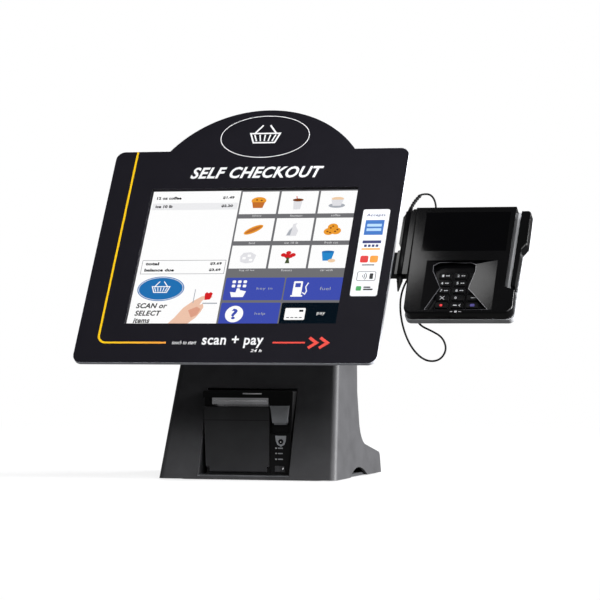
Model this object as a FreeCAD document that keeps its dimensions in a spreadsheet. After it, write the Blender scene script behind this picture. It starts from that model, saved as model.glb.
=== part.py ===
"""Counter-top self checkout kiosk: pedestal, receipt printer, tilting display head, payment terminal.

Frame: origin on the counter plane at the centre of the pedestal's footprint, +X to the right,
+Y to the back, +Z up, millimetres.  The pedestal and printer are drawn in that frame.  The head is
drawn in its own leaning frame (X right, Y behind the sign's front face, Z up along the sign) with its
origin at the centre of the screen, and the terminal in the same lean with its own centre.
"""
import FreeCAD, Part
import math
import os
import re
import Sketcher

os.makedirs("parts", exist_ok=True)
doc = FreeCAD.newDocument("self_checkout_kiosk")
Vector = FreeCAD.Vector

# ---------------------------------------------------------------- driving dimensions
DIMENSIONS = {
    # pedestal
    "foot_width": 261.2, "foot_depth": 259.0, "foot_gap": 1.5, "column_top": 300.0,
    "side_slope": 0.0741, "front_slope": 0.3724, "back_slope": 0.256, "column_back": 153.3,
    "back_bend": 85.0, "heel_high": 30.6, "heel_root": 50.5, "shell_wall": 4.0, "edge_radius": 9.0,
    "plate_thick": 4.0, "notch_radius": 95.1, "notch_high": 14.5, "notch_mid": 130.0,
    "bolt_half": 80.0, "bolt_deep": 80.0, "bolt_radius": 3.25,
    # printer bay and printer
    "bay_left": -71.5, "bay_right": 62.5, "bay_top": 129.0, "bay_back": 141.0, "bay_sheet": 2.0,
    "case_low": 7.5, "case_top": 125.5, "case_front": 25.0, "case_back": 136.0, "case_mid": -4.5,
    "case_half_low": 61.5, "case_half_top": 66.5, "cover_top": 103.0, "cover_thick": 6.0,
    "cover_right": 27.0, "hinge_y": 28.0, "hinge_z": 13.0, "pin_radius": 1.5,
    "platen_y": 42.0, "platen_z": 96.0, "platen_radius": 5.0, "gear_unit": 0.6,
    "roll_radius": 37.0, "roll_y": 82.0, "roll_z": 48.3, "strip_left": 28.3, "strip_right": 57.0,
    "tear_top": 115.5, "rocker_y": 29.5, "rocker_radius": 1.2,
    # display head
    "head_y": -17.7, "head_z": 317.1, "head_lean": 32.7, "board_half": 218.2, "board_low": 178.5,
    "board_high": 180.4, "board_thick": 5.0, "arch_radius": 170.0, "arch_mid": 81.1,
    "window_half": 152.6, "window_rise": 114.6, "housing_half": 176.0, "housing_rise": 138.0,
    "step_half": 122.0, "step_rise": 100.0, "tilt_pin_y": 60.0, "tilt_pin_z": 262.0, "tilt_radius": 6.0,
    "fit_gap": 0.05, "vesa_half": 50.0,
    # payment terminal
    "term_x": 325.0, "term_v": -23.5, "term_rise": 86.5, "term_face": 20.0, "term_half_top": 78.0,
    "term_half_low": 75.0, "arm_depth": 44.0, "arm_v": 6.5, "key_mid": -4.0, "key_pitch": 21.5,
    "key_top": -21.3, "key_step": 11.9, "key_wide": 17.5, "key_high": 8.8, "stylus_x": -89.5,
    "stylus_depth": -8.0, "stylus_radius": 4.2, "tether_radius": 1.35,
}

sizes = doc.addObject("Spreadsheet::Sheet", "Sizes")
for row, (alias, number) in enumerate(DIMENSIONS.items(), start=1):
    sizes.set(f"A{row}", alias)
    sizes.set(f"B{row}", str(number))
    sizes.setAlias(f"B{row}", alias)
doc.recompute()
ALIAS = re.compile(r"\b[a-z]+_[a-z_]+\b")
pieces = []          # every sub-part that is written out


# ---------------------------------------------------------------- building helpers
def formula(text):
    """An expression on the sheet: alias words get the sheet's name."""
    return ALIAS.sub(lambda word: "Sizes." + word.group(0), str(text))


def bind(item, **settings):
    """Bind properties to expressions; a double underscore stands for a dot."""
    for name, text in settings.items():
        item.setExpression(name.replace("__", "."), formula(text))
    return item


def move(item, at=(0, 0, 0), turn=None):
    """Place an item at a position given by expressions, turned by (axis, angle expression)."""
    if turn:
        axis, angle = turn
        item.Placement = FreeCAD.Placement(Vector(), FreeCAD.Rotation(Vector(*axis), 1))
        bind(item, Placement__Rotation__Angle=angle)
    for letter, text in zip("xyz", at):
        if str(text) != "0":
            item.setExpression(f"Placement.Base.{letter}", formula(text))
    return item


def in_counter_frame(item):
    """Pedestal and printer pieces measure Y from the front edge of the pedestal."""
    return move(item, ("0", "-foot_depth / 2", "0"))


def in_head_frame(item):
    return move(item, ("0", "head_y - foot_depth / 2", "head_z"), ((1, 0, 0), "-head_lean"))


def in_terminal_frame(item):
    at = ("term_x", "head_y - foot_depth / 2 + term_v * sin(head_lean)", "head_z + term_v * cos(head_lean)")
    return move(item, at, ((1, 0, 0), "-head_lean"))


FRAMES = {"counter": in_counter_frame, "head": in_head_frame, "terminal": in_terminal_frame}


def finish(item, label, frame):
    """Give a finished sub-part its label and its frame's placement."""
    item.Label = label
    FRAMES[frame](item)
    pieces.append(item)
    return item


def new_body(name):
    return doc.addObject("PartDesign::Body", name)


def solid(body, kind, **settings):
    """A primitive feature of a body, such as AdditiveBox or SubtractiveCylinder."""
    feature = body.newObject("PartDesign::" + kind, body.Name + "_" + kind)
    bind(feature, **settings)
    return feature


def block(body, low, high, cut=False):
    """Add or cut a box between two corners given by expressions."""
    spans = [f"({b}) - ({a})" for a, b in zip(low, high)]
    feature = solid(body, "SubtractiveBox" if cut else "AdditiveBox",
                    Length=spans[0], Width=spans[1], Height=spans[2])
    return move(feature, low)


TURNS = {"x": ((0, 1, 0), 90), "y": ((1, 0, 0), -90), "z": None}


def rod(body, axis, radius, length, at, cut=False):
    """Add or cut a cylinder that starts at a point and runs along +X, +Y or +Z."""
    feature = solid(body, "SubtractiveCylinder" if cut else "AdditiveCylinder",
                    Radius=radius, Height=length)
    if TURNS[axis]:
        direction, angle = TURNS[axis]
        feature.Placement = FreeCAD.Placement(Vector(), FreeCAD.Rotation(Vector(*direction), angle))
    return move(feature, at)


def outline(body, plane, points):
    """A closed sketch on one of the body's origin planes, every corner bound by expressions."""
    sketch = body.newObject("Sketcher::SketchObject", body.Name + "_outline")
    sketch.AttachmentSupport = [(p, "") for p in body.Origin.OriginFeatures if p.Role == plane + "_Plane"]
    sketch.MapMode = "FlatFace"
    count = len(points)
    ring = [Vector(math.cos(2 * math.pi * k / count), math.sin(2 * math.pi * k / count), 0)
            for k in range(count)]
    for k in range(count):
        sketch.addGeometry(Part.LineSegment(ring[k], ring[(k + 1) % count]), False)
    for k in range(count):
        sketch.addConstraint(Sketcher.Constraint("Coincident", k, 2, (k + 1) % count, 1))
    for k, corner in enumerate(points):
        for kind, text, start in zip(("DistanceX", "DistanceY"), corner, ring[k]):
            index = sketch.addConstraint(Sketcher.Constraint(kind, -1, 1, k, 1, float(start) or 0.01))
            sketch.setExpression(f"Constraints[{index}]", formula(text))
    return sketch


def slab(body, plane, points, length, at=("0", "0", "0"), cut=False, midplane=False):
    """Pad or pocket an outline: XZ outlines run to +Y, YZ to +X, XY to +Z from the offset."""
    sketch = outline(body, plane, points)
    for letter, text in zip("xyz", at):
        if str(text) != "0":
            sketch.setExpression(f"AttachmentOffset.Base.{letter}", formula(text))
    feature = body.newObject("PartDesign::" + ("Pocket" if cut else "Pad"), body.Name + "_slab")
    feature.Profile = sketch
    feature.Midplane = midplane
    feature.Reversed = (plane == "XZ") != cut
    bind(feature, Length=length)
    return feature


def edges_where(shape, test):
    """Names of the straight edges whose two ends both pass a test on their coordinates."""
    chosen = []
    for number, edge in enumerate(shape.Edges, start=1):
        ends = [vertex.Point for vertex in edge.Vertexes]
        if len(ends) == 2 and test(*ends):
            chosen.append(f"Edge{number}")
    return chosen


def along(axis, low=-1e6, high=1e6):
    """Edge test: the edge runs along an axis (0, 1, 2), its middle between low and high on it."""
    def test(a, b):
        gap = b - a
        others = sum(abs(gap[k]) for k in range(3) if k != axis)
        return others < 1e-4 and low <= (a[axis] + b[axis]) / 2 <= high
    return test


def soften(body, radius, test, kind="Fillet"):
    """Fillet or chamfer the edges of the body's last feature that pass a test."""
    doc.recompute()
    base = body.Tip
    feature = body.newObject("PartDesign::" + kind, body.Name + "_" + kind.lower())
    feature.Base = (base, edges_where(base.Shape, test))
    bind(feature, **{"Radius" if kind == "Fillet" else "Size": radius})
    return feature


def combine(kind, label, parts):
    """A Part boolean: Cut takes (base, tool), the others a list."""
    item = doc.addObject("Part::" + kind, label + "_" + kind)
    if kind == "Cut":
        item.Base, item.Tool = parts
    elif kind == "Compound":
        item.Links = parts
    else:
        item.Shapes = parts
    return item


def screw(name, axis, at, head=("3", "2"), shank=("1.5", "10")):
    """A cheese-head screw whose head starts at a point and whose shank runs along the axis."""
    body = new_body(name)
    rod(body, axis, head[0], head[1], at)
    start = list(at)
    start["xyz".index(axis)] = f"({at['xyz'.index(axis)]}) + {head[1]}"
    rod(body, axis, shank[0], shank[1], start)
    return body


# ---------------------------------------------------------------- pedestal
def pedestal_form(name, inset, low):
    """The pedestal's outside, or the hollow inside it when inset by the wall."""
    lean = f"({inset}) * sqrt(1 + front_slope ^ 2)"
    side = new_body(name + "_side")
    slab(side, "YZ", [
        (f"front_slope * {low} + {lean}", low),
        (f"front_slope * (column_top - {inset}) + {lean}", f"column_top - {inset}"),
        (f"column_back + back_slope * (column_top - back_bend - {inset}) - 1.03 * {inset}",
         f"column_top - {inset}"),
        (f"column_back - {inset}", "back_bend"),
        (f"column_back - 1 - {inset}", f"heel_root - 0.83 * {inset}"),
        (f"foot_depth - {inset}", f"heel_high - {inset}"),
        (f"foot_depth - {inset}", low),
    ], "foot_width + 20", midplane=True)
    inner = DIMENSIONS["column_back"]
    soften(side, f"32 + {inset}", lambda a, b: along(0)(a, b) and inner - 12 < a.y < inner and a.z < 60)
    soften(side, f"8 - {inset} / 2", lambda a, b: along(0)(a, b) and a.y > 245 and a.z > 20)
    front = new_body(name + "_front")
    half = f"foot_width / 2 - {inset}"
    slab(front, "XZ", [
        (f"-({half} + side_slope * 10)", "-10"), (f"{half} + side_slope * 10", "-10"),
        (f"{half} - side_slope * (column_top + 10)", "column_top + 10"),
        (f"-({half} - side_slope * (column_top + 10))", "column_top + 10"),
    ], "foot_depth * 3", midplane=True)
    return combine("MultiCommon", name, [side, front])


def column_cover_frame(item, depth="0"):
    """Pieces on the column's back wall, centred 180 mm up and leaning with it."""
    at = ("0", f"column_back + back_slope * (180 - back_bend) + {depth} - foot_depth / 2", "180")
    return move(item, at, ((1, 0, 0), "-atan(back_slope)"))


def pedestal_shell():
    outer = pedestal_form("shell_outer", "0", "foot_gap")
    hollow = pedestal_form("shell_hollow", "shell_wall", "0")
    doc.recompute()

    def upright_corner(a, b):
        steep = abs(a.z - b.z) > 150
        return steep and abs(a.x) > 100
    rounded = doc.addObject("Part::Fillet", "shell_rounded")
    rounded.Base = outer
    names = edges_where(outer.Shape, upright_corner)
    radius = DIMENSIONS["edge_radius"]
    rounded.Edges = [(int(name[4:]), radius, radius) for name in names]
    skin = combine("Cut", "shell_skin", (rounded, hollow))
    bosses = new_body("shell_bosses")
    for x in ("-121", "121"):
        for y in ("22", "236"):
            rod(bosses, "z", "6", "14", (x, y, "foot_gap + plate_thick + 0.2"))
    for x in ("-72", "72"):
        for z in ("118", "242"):
            block(bosses, (f"{x} - 6", f"column_back + back_slope * ({z} - back_bend) - 16", f"{z} - 6"),
                  (f"{x} + 6", f"column_back + back_slope * ({z} - back_bend) - 3.6", f"{z} + 6"))
    whole = combine("MultiFuse", "shell_whole", [skin, bosses])
    openings = new_body("shell_openings")
    block(openings, ("bay_left", "-10", "foot_gap + plate_thick"), ("bay_right", "80", "bay_top"))
    rod(openings, "x", "notch_radius", "400", ("-200", "notch_mid", "notch_high - notch_radius"))
    block(openings, ("-33", "80", "244"), ("33", "125", "280"))
    for x in ("-121", "121"):
        for y in ("22", "236"):
            rod(openings, "z", "1.5 + fit_gap", "12", (x, y, "foot_gap + plate_thick - 1"))
    hatch = new_body("shell_hatch")
    block(hatch, ("-60", "-12", "-70"), ("60", "8", "70"))
    for x in ("-72", "72"):
        for z in ("-62", "62"):
            rod(hatch, "y", "1.5 + fit_gap", "22", (x, "-14", z))
    column_cover_frame(hatch)
    in_counter = combine("MultiFuse", "shell_cutters", [openings, hatch])
    # the hatch tool already stands in the part's frame, so the pedestal's own tools move there too
    move(openings, ("0", "-foot_depth / 2", "0"))
    move(whole, ("0", "-foot_depth / 2", "0"))
    shell = combine("Cut", "pedestal_shell", (whole, in_counter))
    shell.Label = "pedestal_shell"
    pieces.append(shell)


def base_plate():
    body = new_body("base_plate")
    block(body, ("-125.5", "7", "foot_gap"), ("125.5", "254.4", "foot_gap + plate_thick"))
    for x in ("-121", "121"):
        for y in ("22", "236"):
            rod(body, "z", "1.8", "10", (x, y, "0"), cut=True)
            rod(body, "z", "3.3", "2.2", (x, y, "foot_gap - 0.2"), cut=True)
    for x in ("-bolt_half", "bolt_half"):
        for y in ("foot_depth / 2 - bolt_deep", "foot_depth / 2 + bolt_deep"):
            rod(body, "z", "bolt_radius", "10", (x, y, "0"), cut=True)
    soften(body, "4", along(2))
    finish(body, "base_plate", "counter")


def rubber_mat():
    body = new_body("rubber_mat")
    block(body, ("-104", "20", "0"), ("104", "foot_depth - 20", "foot_gap"))
    for x in ("-bolt_half", "bolt_half"):
        for y in ("foot_depth / 2 - bolt_deep", "foot_depth / 2 + bolt_deep"):
            rod(body, "z", "bolt_radius + 1.5", "10", (x, y, "-1"), cut=True)
    soften(body, "10", lambda a, b: along(2)(a, b) and abs(a.x) > 103)
    finish(body, "rubber_mat", "counter")


def case_screws():
    """Eight identical screws: four up into the floor bosses, four into the back of the column."""
    low = [screw("floor_screw", "z", (x, y, "foot_gap")) for x in ("-121", "121") for y in ("22", "236")]
    floor = combine("Compound", "floor_screws", low)
    move(floor, ("0", "-foot_depth / 2", "0"))
    rear = []
    for x in ("-72", "72"):
        for z in ("-62", "62"):
            body = new_body("rear_screw")
            rod(body, "y", "3", "2", (x, "3.2", z))
            rod(body, "y", "1.5", "10", (x, "-6.8", z))
            rear.append(body)
    back = combine("Compound", "rear_screws", rear)
    column_cover_frame(back)
    group = combine("Compound", "case_screws", [floor, back])
    group.Label = "case_screws"
    pieces.append(group)


def rear_access_cover():
    body = new_body("rear_access_cover")
    block(body, ("-80", "0.2", "-76"), ("80", "3.2", "76"))
    block(body, ("-58", "-4", "-68"), ("58", "0.3", "68"))
    block(body, ("-55", "-5", "-65"), ("55", "0", "65"), cut=True)
    for x in ("-72", "72"):
        for z in ("-62", "62"):
            rod(body, "y", "1.8", "10", (x, "-2", z), cut=True)
    for count in range(7):
        z = f"-30 + {count} * 10"
        block(body, ("-32", "-6", z), ("32", "6", f"{z} + 3"), cut=True)
    soften(body, "6", lambda a, b: along(1)(a, b) and abs(a.x) > 79)
    body.Label = "rear_access_cover"
    column_cover_frame(body)
    pieces.append(body)


def printer_bay():
    body = new_body("bay_box")
    block(body, ("bay_left - bay_sheet", "0", "foot_gap + plate_thick"),
          ("bay_right + bay_sheet", "bay_back + bay_sheet", "bay_top + bay_sheet"))
    block(body, ("bay_left", "-1", "foot_gap + plate_thick + 1.5"),
          ("bay_right", "bay_back", "bay_top"), cut=True)
    block(body, ("-20", "100", "30"), ("20", "200", "60"), cut=True)
    limit = pedestal_form("bay_limit", "(shell_wall + 0.3)", "0")
    finish(combine("MultiCommon", "printer_bay", [body, limit]), "printer_bay", "counter")


def mast_bracket():
    body = new_body("mast_bracket")
    block(body, ("-45", "bay_back + 3", "foot_gap + plate_thick"), ("45", "bay_back + 7", "288"))
    block(body, ("-45", "bay_back + 3", "foot_gap + plate_thick"),
          ("45", "190", "foot_gap + plate_thick + 4"))
    for x in ("-26", "22"):
        block(body, (x, "tilt_pin_y", "tilt_pin_z - 12"), (f"{x} + 4", "bay_back + 4", "tilt_pin_z + 12"))
        rod(body, "x", "12", "4", (x, "tilt_pin_y", "tilt_pin_z"))
    block(body, ("-23", "100", "tilt_pin_z - 12"), ("23", "bay_back + 4", "tilt_pin_z - 8"))
    rod(body, "x", "tilt_radius + fit_gap", "80", ("-40", "tilt_pin_y", "tilt_pin_z"), cut=True)
    block(body, ("-20", "bay_back", "30"), ("20", "bay_back + 12", "60"), cut=True)
    finish(body, "mast_bracket", "counter")


def tilt_pin():
    body = new_body("tilt_pin")
    rod(body, "x", "tilt_radius", "64", ("-32", "tilt_pin_y", "tilt_pin_z"))
    for x in ("-30.2", "26.2"):
        rod(body, "x", "9", "4", (x, "tilt_pin_y", "tilt_pin_z"))
    finish(body, "tilt_pin", "counter")


# ---------------------------------------------------------------- receipt printer
def case_half(z):
    """Half the printer's width at a height, as an expression."""
    return f"(case_half_low + (case_half_top - case_half_low) * ({z} - case_low) / (case_top - case_low))"


def printer_case():
    body = new_body("printer_case")
    slab(body, "XZ", [
        (f"case_mid - {case_half('case_low')}", "case_low"),
        (f"case_mid + {case_half('case_low')}", "case_low"),
        (f"case_mid + {case_half('case_top')}", "case_top"),
        (f"case_mid - {case_half('case_top')}", "case_top"),
    ], "case_back - case_front", ("0", "0", "-case_front"))
    soften(body, "2.5", lambda a, b: along(1)(a, b) and a.z > 120)
    block(body, ("-100", "0", "9.7"),
          ("cover_right + 0.3", "case_front + cover_thick + 0.3", "tear_top"), cut=True)
    block(body, ("-62", "28.6", "11"), ("cover_right", "131", "122"), cut=True)
    block(body, ("30", "34", "11"), ("54", "131", "122"), cut=True)
    block(body, ("strip_left", "20", "66"), ("strip_right", "32.5", "105.2"), cut=True)
    block(body, ("strip_left", "20", "9.8"), ("strip_right", "28.6", "65.5"), cut=True)
    rod(body, "y", "3.6", "8", ("44", "27", "54"), cut=True)
    block(body, ("34.4", "27", "11.5"), ("50.6", "36", "20.5"), cut=True)
    rod(body, "z", "rocker_radius + fit_gap", "9.8", ("42.5", "rocker_y", "11.1"), cut=True)
    block(body, ("-65.2", "25.6", "9"), ("-61.3", "33", "16.5"))
    block(body, ("24.2", "25.6", "9"), ("cover_right + 0.9", "33", "16.5"))
    rod(body, "x", "pin_radius + fit_gap", "100", ("-66", "hinge_y", "hinge_z"), cut=True)
    rod(body, "x", "2.6", "10", ("24", "platen_y + 10.95", "platen_z"), cut=True)
    block(body, ("-40", "130", "30"), ("-10", "140", "60"), cut=True)
    finish(body, "printer_case", "counter")


def front_cover():
    body = new_body("front_cover")
    left = "case_mid - {0}"
    slab(body, "XZ", [
        (left.format(case_half("hinge_z")), "hinge_z"), ("cover_right", "hinge_z"),
        ("cover_right", "cover_top"), (left.format(case_half("cover_top")), "cover_top"),
    ], "cover_thick", ("0", "0", "-case_front"))
    soften(body, "1.6", lambda a, b: along(0)(a, b) and a.z > 100 and a.y < 26)
    rod(body, "x", "cover_thick / 2", "85", ("-60.9", "hinge_y", "hinge_z"))
    for low, high in (("-80", "-61"), ("23.9", "40")):
        block(body, (low, "20", "5"), (high, "33", "18"), cut=True)
    rod(body, "x", "pin_radius + fit_gap", "120", ("-70", "hinge_y", "hinge_z"), cut=True)
    for x in ("-60.5", "20.5"):
        block(body, (x, "30.5", "91"), (f"{x} + 3", "platen_y + 4.5", "101"))
    rod(body, "x", "2 + fit_gap", "100", ("-65", "platen_y", "platen_z"), cut=True)
    block(body, ("-57", "29", "22"), ("20", "33", "84"), cut=True)
    finish(body, "front_cover", "counter")


def gear_outline(teeth, turn):
    """Straight-flanked teeth, thin enough to run with backlash, as a closed face in the YZ plane."""
    unit = DIMENSIONS["gear_unit"]
    pitch = unit * teeth / 2
    points = []
    for tooth in range(teeth):
        middle = 2 * math.pi * (tooth + turn) / teeth
        for radius, half in ((pitch - 1.25 * unit, 0.34), (pitch + 0.85 * unit, 0.13)):
            angle = 2 * math.pi * half / teeth
            points.append((radius, middle - angle, middle + angle))
    corners = []
    for root, tip in zip(points[0::2], points[1::2]):
        corners += [(root[0], root[1]), (tip[0], tip[1]), (tip[0], tip[2]), (root[0], root[2])]
    wire = [Vector(0, r * math.cos(a), r * math.sin(a)) for r, a in corners]
    return Part.Face(Part.makePolygon(wire + wire[:1]))


def gear(label, teeth, turn, x, width, y, bore):
    """A spur gear about an axis along X; its sizes come from the sheet's gear unit."""
    blank = gear_outline(teeth, turn).extrude(Vector(width, 0, 0))
    hole = Part.makeCylinder(bore, width + 2, Vector(-1, 0, 0), Vector(1, 0, 0))
    item = doc.addObject("Part::Feature", label)
    item.Shape = blank.cut(hole)
    item.Label = label
    move(item, (x, f"{y} - foot_depth / 2", "platen_z"))
    pieces.append(item)


def feed_train():
    platen = new_body("platen_roller")
    rod(platen, "x", "platen_radius", "76", ("-57", "platen_y", "platen_z"))
    rod(platen, "x", "2", "88", ("-61", "platen_y", "platen_z"))
    finish(platen, "platen_roller", "counter")
    gear("platen_gear", 24, 0, "23.8", 2.6, "platen_y", 2.0)
    gear("motor_pinion", 12, 0.5, "23.8", 2.6, "(platen_y + 10.95)", 1.0)
    motor = new_body("feed_motor")
    rod(motor, "x", "8.5", "12", ("30.3", "platen_y + 10.95", "platen_z"))
    rod(motor, "x", "1 - fit_gap", "8", ("23.8", "platen_y + 10.95", "platen_z"))
    block(motor, ("30.3", "platen_y - 1", "platen_z - 3"), ("31.3", "platen_y + 23", "platen_z + 3"))
    finish(motor, "feed_motor", "counter")


def printer_mechanism():
    pin = new_body("cover_hinge_pin")
    rod(pin, "x", "pin_radius", "92.4", ("-65.2", "hinge_y", "hinge_z"))
    finish(pin, "cover_hinge_pin", "counter")

    thermal = new_body("thermal_head")
    block(thermal, ("-56", "platen_y + platen_radius + 0.3", "86"),
          ("19", "platen_y + platen_radius + 3", "106"))
    block(thermal, ("-60", "platen_y + platen_radius + 3", "103"), ("22", "58", "106"))
    for x in ("-61.9", "20"):
        block(thermal, (x, "50", "103"), (f"{x} + 3", "58", "121.9"))
    finish(thermal, "thermal_head", "counter")

    blade = new_body("cutter_blade")
    block(blade, ("-56", "29", "114.3"), ("19", "30.2", "121.4"))
    block(blade, ("-6", "30.2", "116"), ("6", "38", "119"))
    finish(blade, "cutter_blade", "counter")

    bar = new_body("tear_bar")
    block(bar, ("-57.5", "25.8", "107"), ("25.6", "27.8", "tear_top"))
    for count in range(27):
        x = f"-57.5 + {count} * 3.08"
        slab(bar, "XZ", [(x, "107.01"), (f"{x} + 1.54", "105.6"), (f"{x} + 3.08", "107.01")],
             "1.2", ("0", "0", "-26.2"))
    finish(bar, "tear_bar", "counter")

    roll = new_body("paper_roll")
    rod(roll, "x", "roll_radius", "79.5", ("-57.2", "roll_y", "roll_z"))
    rod(roll, "x", "8.5", "90", ("-60", "roll_y", "roll_z"), cut=True)
    finish(roll, "paper_roll", "counter")

    board = new_body("printer_board")
    block(board, ("50.5", "44", "16"), ("52.1", "124", "84"))
    block(board, ("46", "60", "30"), ("50.5", "76", "46"))
    block(board, ("42", "100", "60"), ("50.5", "120", "74"))
    finish(board, "printer_board", "counter")


def printer_controls():
    lever = new_body("cover_lever")
    slab(lever, "XZ", [
        ("32", "80"), ("54", "80"), ("strip_right - 0.4", "104.6"), ("strip_left + 0.4", "104.6"),
    ], "7", ("0", "0", "-24"))
    soften(lever, "1.5", lambda a, b: along(0)(a, b) and a.y < 25)
    rod(lever, "x", "2.5", "18", ("34", "28.5", "80"))
    finish(lever, "cover_lever", "counter")

    panel = new_body("control_panel")
    block(panel, ("strip_left + 0.3", "25.4", "10.2"), ("strip_right - 0.3", "28.3", "65"))
    rod(panel, "y", "3.6", "8", ("44", "22", "54"), cut=True)
    block(panel, ("34.8", "20", "11.5"), ("50.2", "40", "20.5"), cut=True)
    block(panel, ("35", "24", "30"), ("38", "26", "46.5"), cut=True)
    finish(panel, "control_panel", "counter")

    button = new_body("feed_button")
    rod(button, "y", "3.2", "7", ("44", "24.4", "54"))
    finish(button, "feed_button", "counter")

    switch = new_body("power_switch")
    slab(switch, "XY", [("35.4", "25"), ("42.5", "26.2"), ("49.6", "25"), ("48.5", "31"), ("36.5", "31")],
         "8.2", ("0", "0", "11.9"))
    rod(switch, "z", "rocker_radius", "9.6", ("42.5", "rocker_y", "11.2"))
    finish(switch, "power_switch", "counter")


# ---------------------------------------------------------------- display head
ARM_SCREWS = ("arm_v - 12", "arm_v + 12")


def sign_board():
    body = new_body("sign_board")
    block(body, ("-board_half", "0", "-board_low"), ("board_half", "board_thick", "board_high"))
    soften(body, "13", along(1))
    rod(body, "y", "arch_radius", "board_thick", ("0", "0", "arch_mid"))
    block(body, ("-window_half", "-1", "-window_rise"),
          ("window_half", "board_thick + 1", "window_rise"), cut=True)
    finish(body, "sign_board", "head")


def display_stack():
    bezel = new_body("display_bezel")
    block(bezel, ("-housing_half", "board_thick + 0.2", "-housing_rise"),
          ("housing_half", "22", "housing_rise"))
    soften(bezel, "6", along(1))
    block(bezel, ("-161", "0", "-123"), ("161", "30", "123"), cut=True)
    finish(bezel, "display_bezel", "head")

    glass = new_body("touch_glass")
    block(glass, ("-160.6", "board_thick + 0.3", "-122.6"), ("160.6", "7.6", "122.6"))
    finish(glass, "touch_glass", "head")

    panel = new_body("lcd_panel")
    block(panel, ("-159", "7.8", "-121"), ("159", "17", "121"))
    block(panel, ("-120", "17", "-90"), ("-60", "20", "-40"))
    finish(panel, "lcd_panel", "head")


def rear_housing():
    body = new_body("rear_housing")
    block(body, ("-housing_half", "22.2", "-housing_rise"), ("housing_half", "36", "housing_rise"))
    block(body, ("-step_half", "35", "-step_rise"), ("step_half", "50", "step_rise"))
    soften(body, "6", lambda a, b: along(1)(a, b))
    soften(body, "3", lambda a, b: a.y > 49 and b.y > 49)
    block(body, ("-housing_half + 3", "20", "-housing_rise + 3"),
          ("housing_half - 3", "33", "housing_rise - 3"), cut=True)
    block(body, ("-step_half + 3", "20", "-step_rise + 3"),
          ("step_half - 3", "47", "step_rise - 3"), cut=True)
    for x in ("-vesa_half", "vesa_half"):
        for z in ("-vesa_half", "vesa_half"):
            rod(body, "y", "5", "9.5", (x, "38", z))
            rod(body, "y", "2 + fit_gap", "12", (x, "40", z), cut=True)
    for z in ARM_SCREWS:
        rod(body, "y", "2 + fit_gap", "6", ("150", "31", z), cut=True)
    for count in range(13):
        x = f"-75 + {count} * 12"
        block(body, (x, "46", "64"), (f"{x} + 5", "52", "88"), cut=True)
    finish(body, "rear_housing", "head")


def computer_board():
    body = new_body("computer_board")
    block(body, ("-85", "26", "-66"), ("85", "27.6", "66"))
    block(body, ("-25", "27.5", "-22"), ("25", "32", "22"))
    for count in range(8):
        x = f"-25 + {count} * 6.7"
        block(body, (x, "31.9", "-22"), (f"{x} + 2", "40", "22"))
    for x in ("-70", "-50", "-30"):
        block(body, (x, "27.5", "-66"), (f"{x} + 15", "36", "-50"))
    block(body, ("50", "27.5", "-40"), ("56", "33", "40"))
    finish(body, "computer_board", "head")


def pin_in_head():
    """The tilt pin's place in the head's frame, as expressions (behind, up)."""
    rise = "(tilt_pin_z - head_z)"
    back = "(tilt_pin_y - head_y)"
    behind = f"({back} * cos(head_lean) - {rise} * sin(head_lean))"
    up = f"({back} * sin(head_lean) + {rise} * cos(head_lean))"
    return behind, up


def tilt_bracket():
    behind, up = pin_in_head()
    body = new_body("tilt_bracket")
    block(body, ("-60", "50.2", "-60"), ("60", "54", "60"))
    soften(body, "8", along(1))
    block(body, ("-21.4", "53.9", f"{up} - 12"), ("21.4", behind, f"{up} + 12"))
    rod(body, "x", "12", "42.8", ("-21.4", behind, up))
    rod(body, "x", "tilt_radius + fit_gap", "60", ("-30", behind, up), cut=True)
    block(body, ("-12", "57", f"{up} - 20"), ("12", f"{behind} - 13", f"{up} + 20"), cut=True)
    for x in ("-vesa_half", "vesa_half"):
        for z in ("-vesa_half", "vesa_half"):
            rod(body, "y", "2.3", "10", (x, "48", z), cut=True)
    finish(body, "tilt_bracket", "head")


def display_screws():
    """M4 screws: four hold the tilt bracket to the housing, two hold the terminal's arm."""
    places = [(x, "54", z) for x in ("-vesa_half", "vesa_half") for z in ("-vesa_half", "vesa_half")]
    places += [("150", "42.3", z) for z in ARM_SCREWS]
    screws = []
    for x, y, z in places:
        body = new_body("m4_screw")
        rod(body, "y", "4", "2.5", (x, y, z))
        rod(body, "y", "2", "10", (x, f"{y} - 10", z))
        rod(body, "y", "1.3", "3", (x, f"{y} + 1.4", z), cut=True)
        screws.append(body)
    finish(combine("Compound", "display_screws", screws), "display_screws", "head")


def terminal_arm():
    """Flat arm from the housing, ending in a fork that opens forward around the bracket's hub."""
    body = new_body("terminal_arm")
    block(body, ("126", "36.2", "arm_v - 20"), ("300", "42.2", "arm_v + 20"))
    soften(body, "4", along(1))
    for x in ("298", "331"):
        block(body, (x, "39", "arm_v - 9"), (f"{x} + 8", "58", "arm_v + 9"))
        rod(body, "x", "9", "8", (x, "arm_depth", "arm_v"))
    block(body, ("290", "36.2", "arm_v - 9"), ("300", "58", "arm_v + 9"))
    block(body, ("290", "54.2", "arm_v - 9"), ("339", "58", "arm_v + 9"))
    rod(body, "x", "4 + fit_gap", "80", ("270", "arm_depth", "arm_v"), cut=True)
    for z in ARM_SCREWS:
        rod(body, "y", "2.3", "10", ("150", "34", z), cut=True)
    finish(body, "terminal_arm", "head")
    pin = new_body("terminal_pin")
    rod(pin, "x", "4", "52", ("289", "arm_depth", "arm_v"))
    rod(pin, "x", "6.5", "2.5", ("339.2", "arm_depth", "arm_v"))
    finish(pin, "terminal_pin", "head")


# ---------------------------------------------------------------- payment terminal
FRONT = "-term_face"


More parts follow.
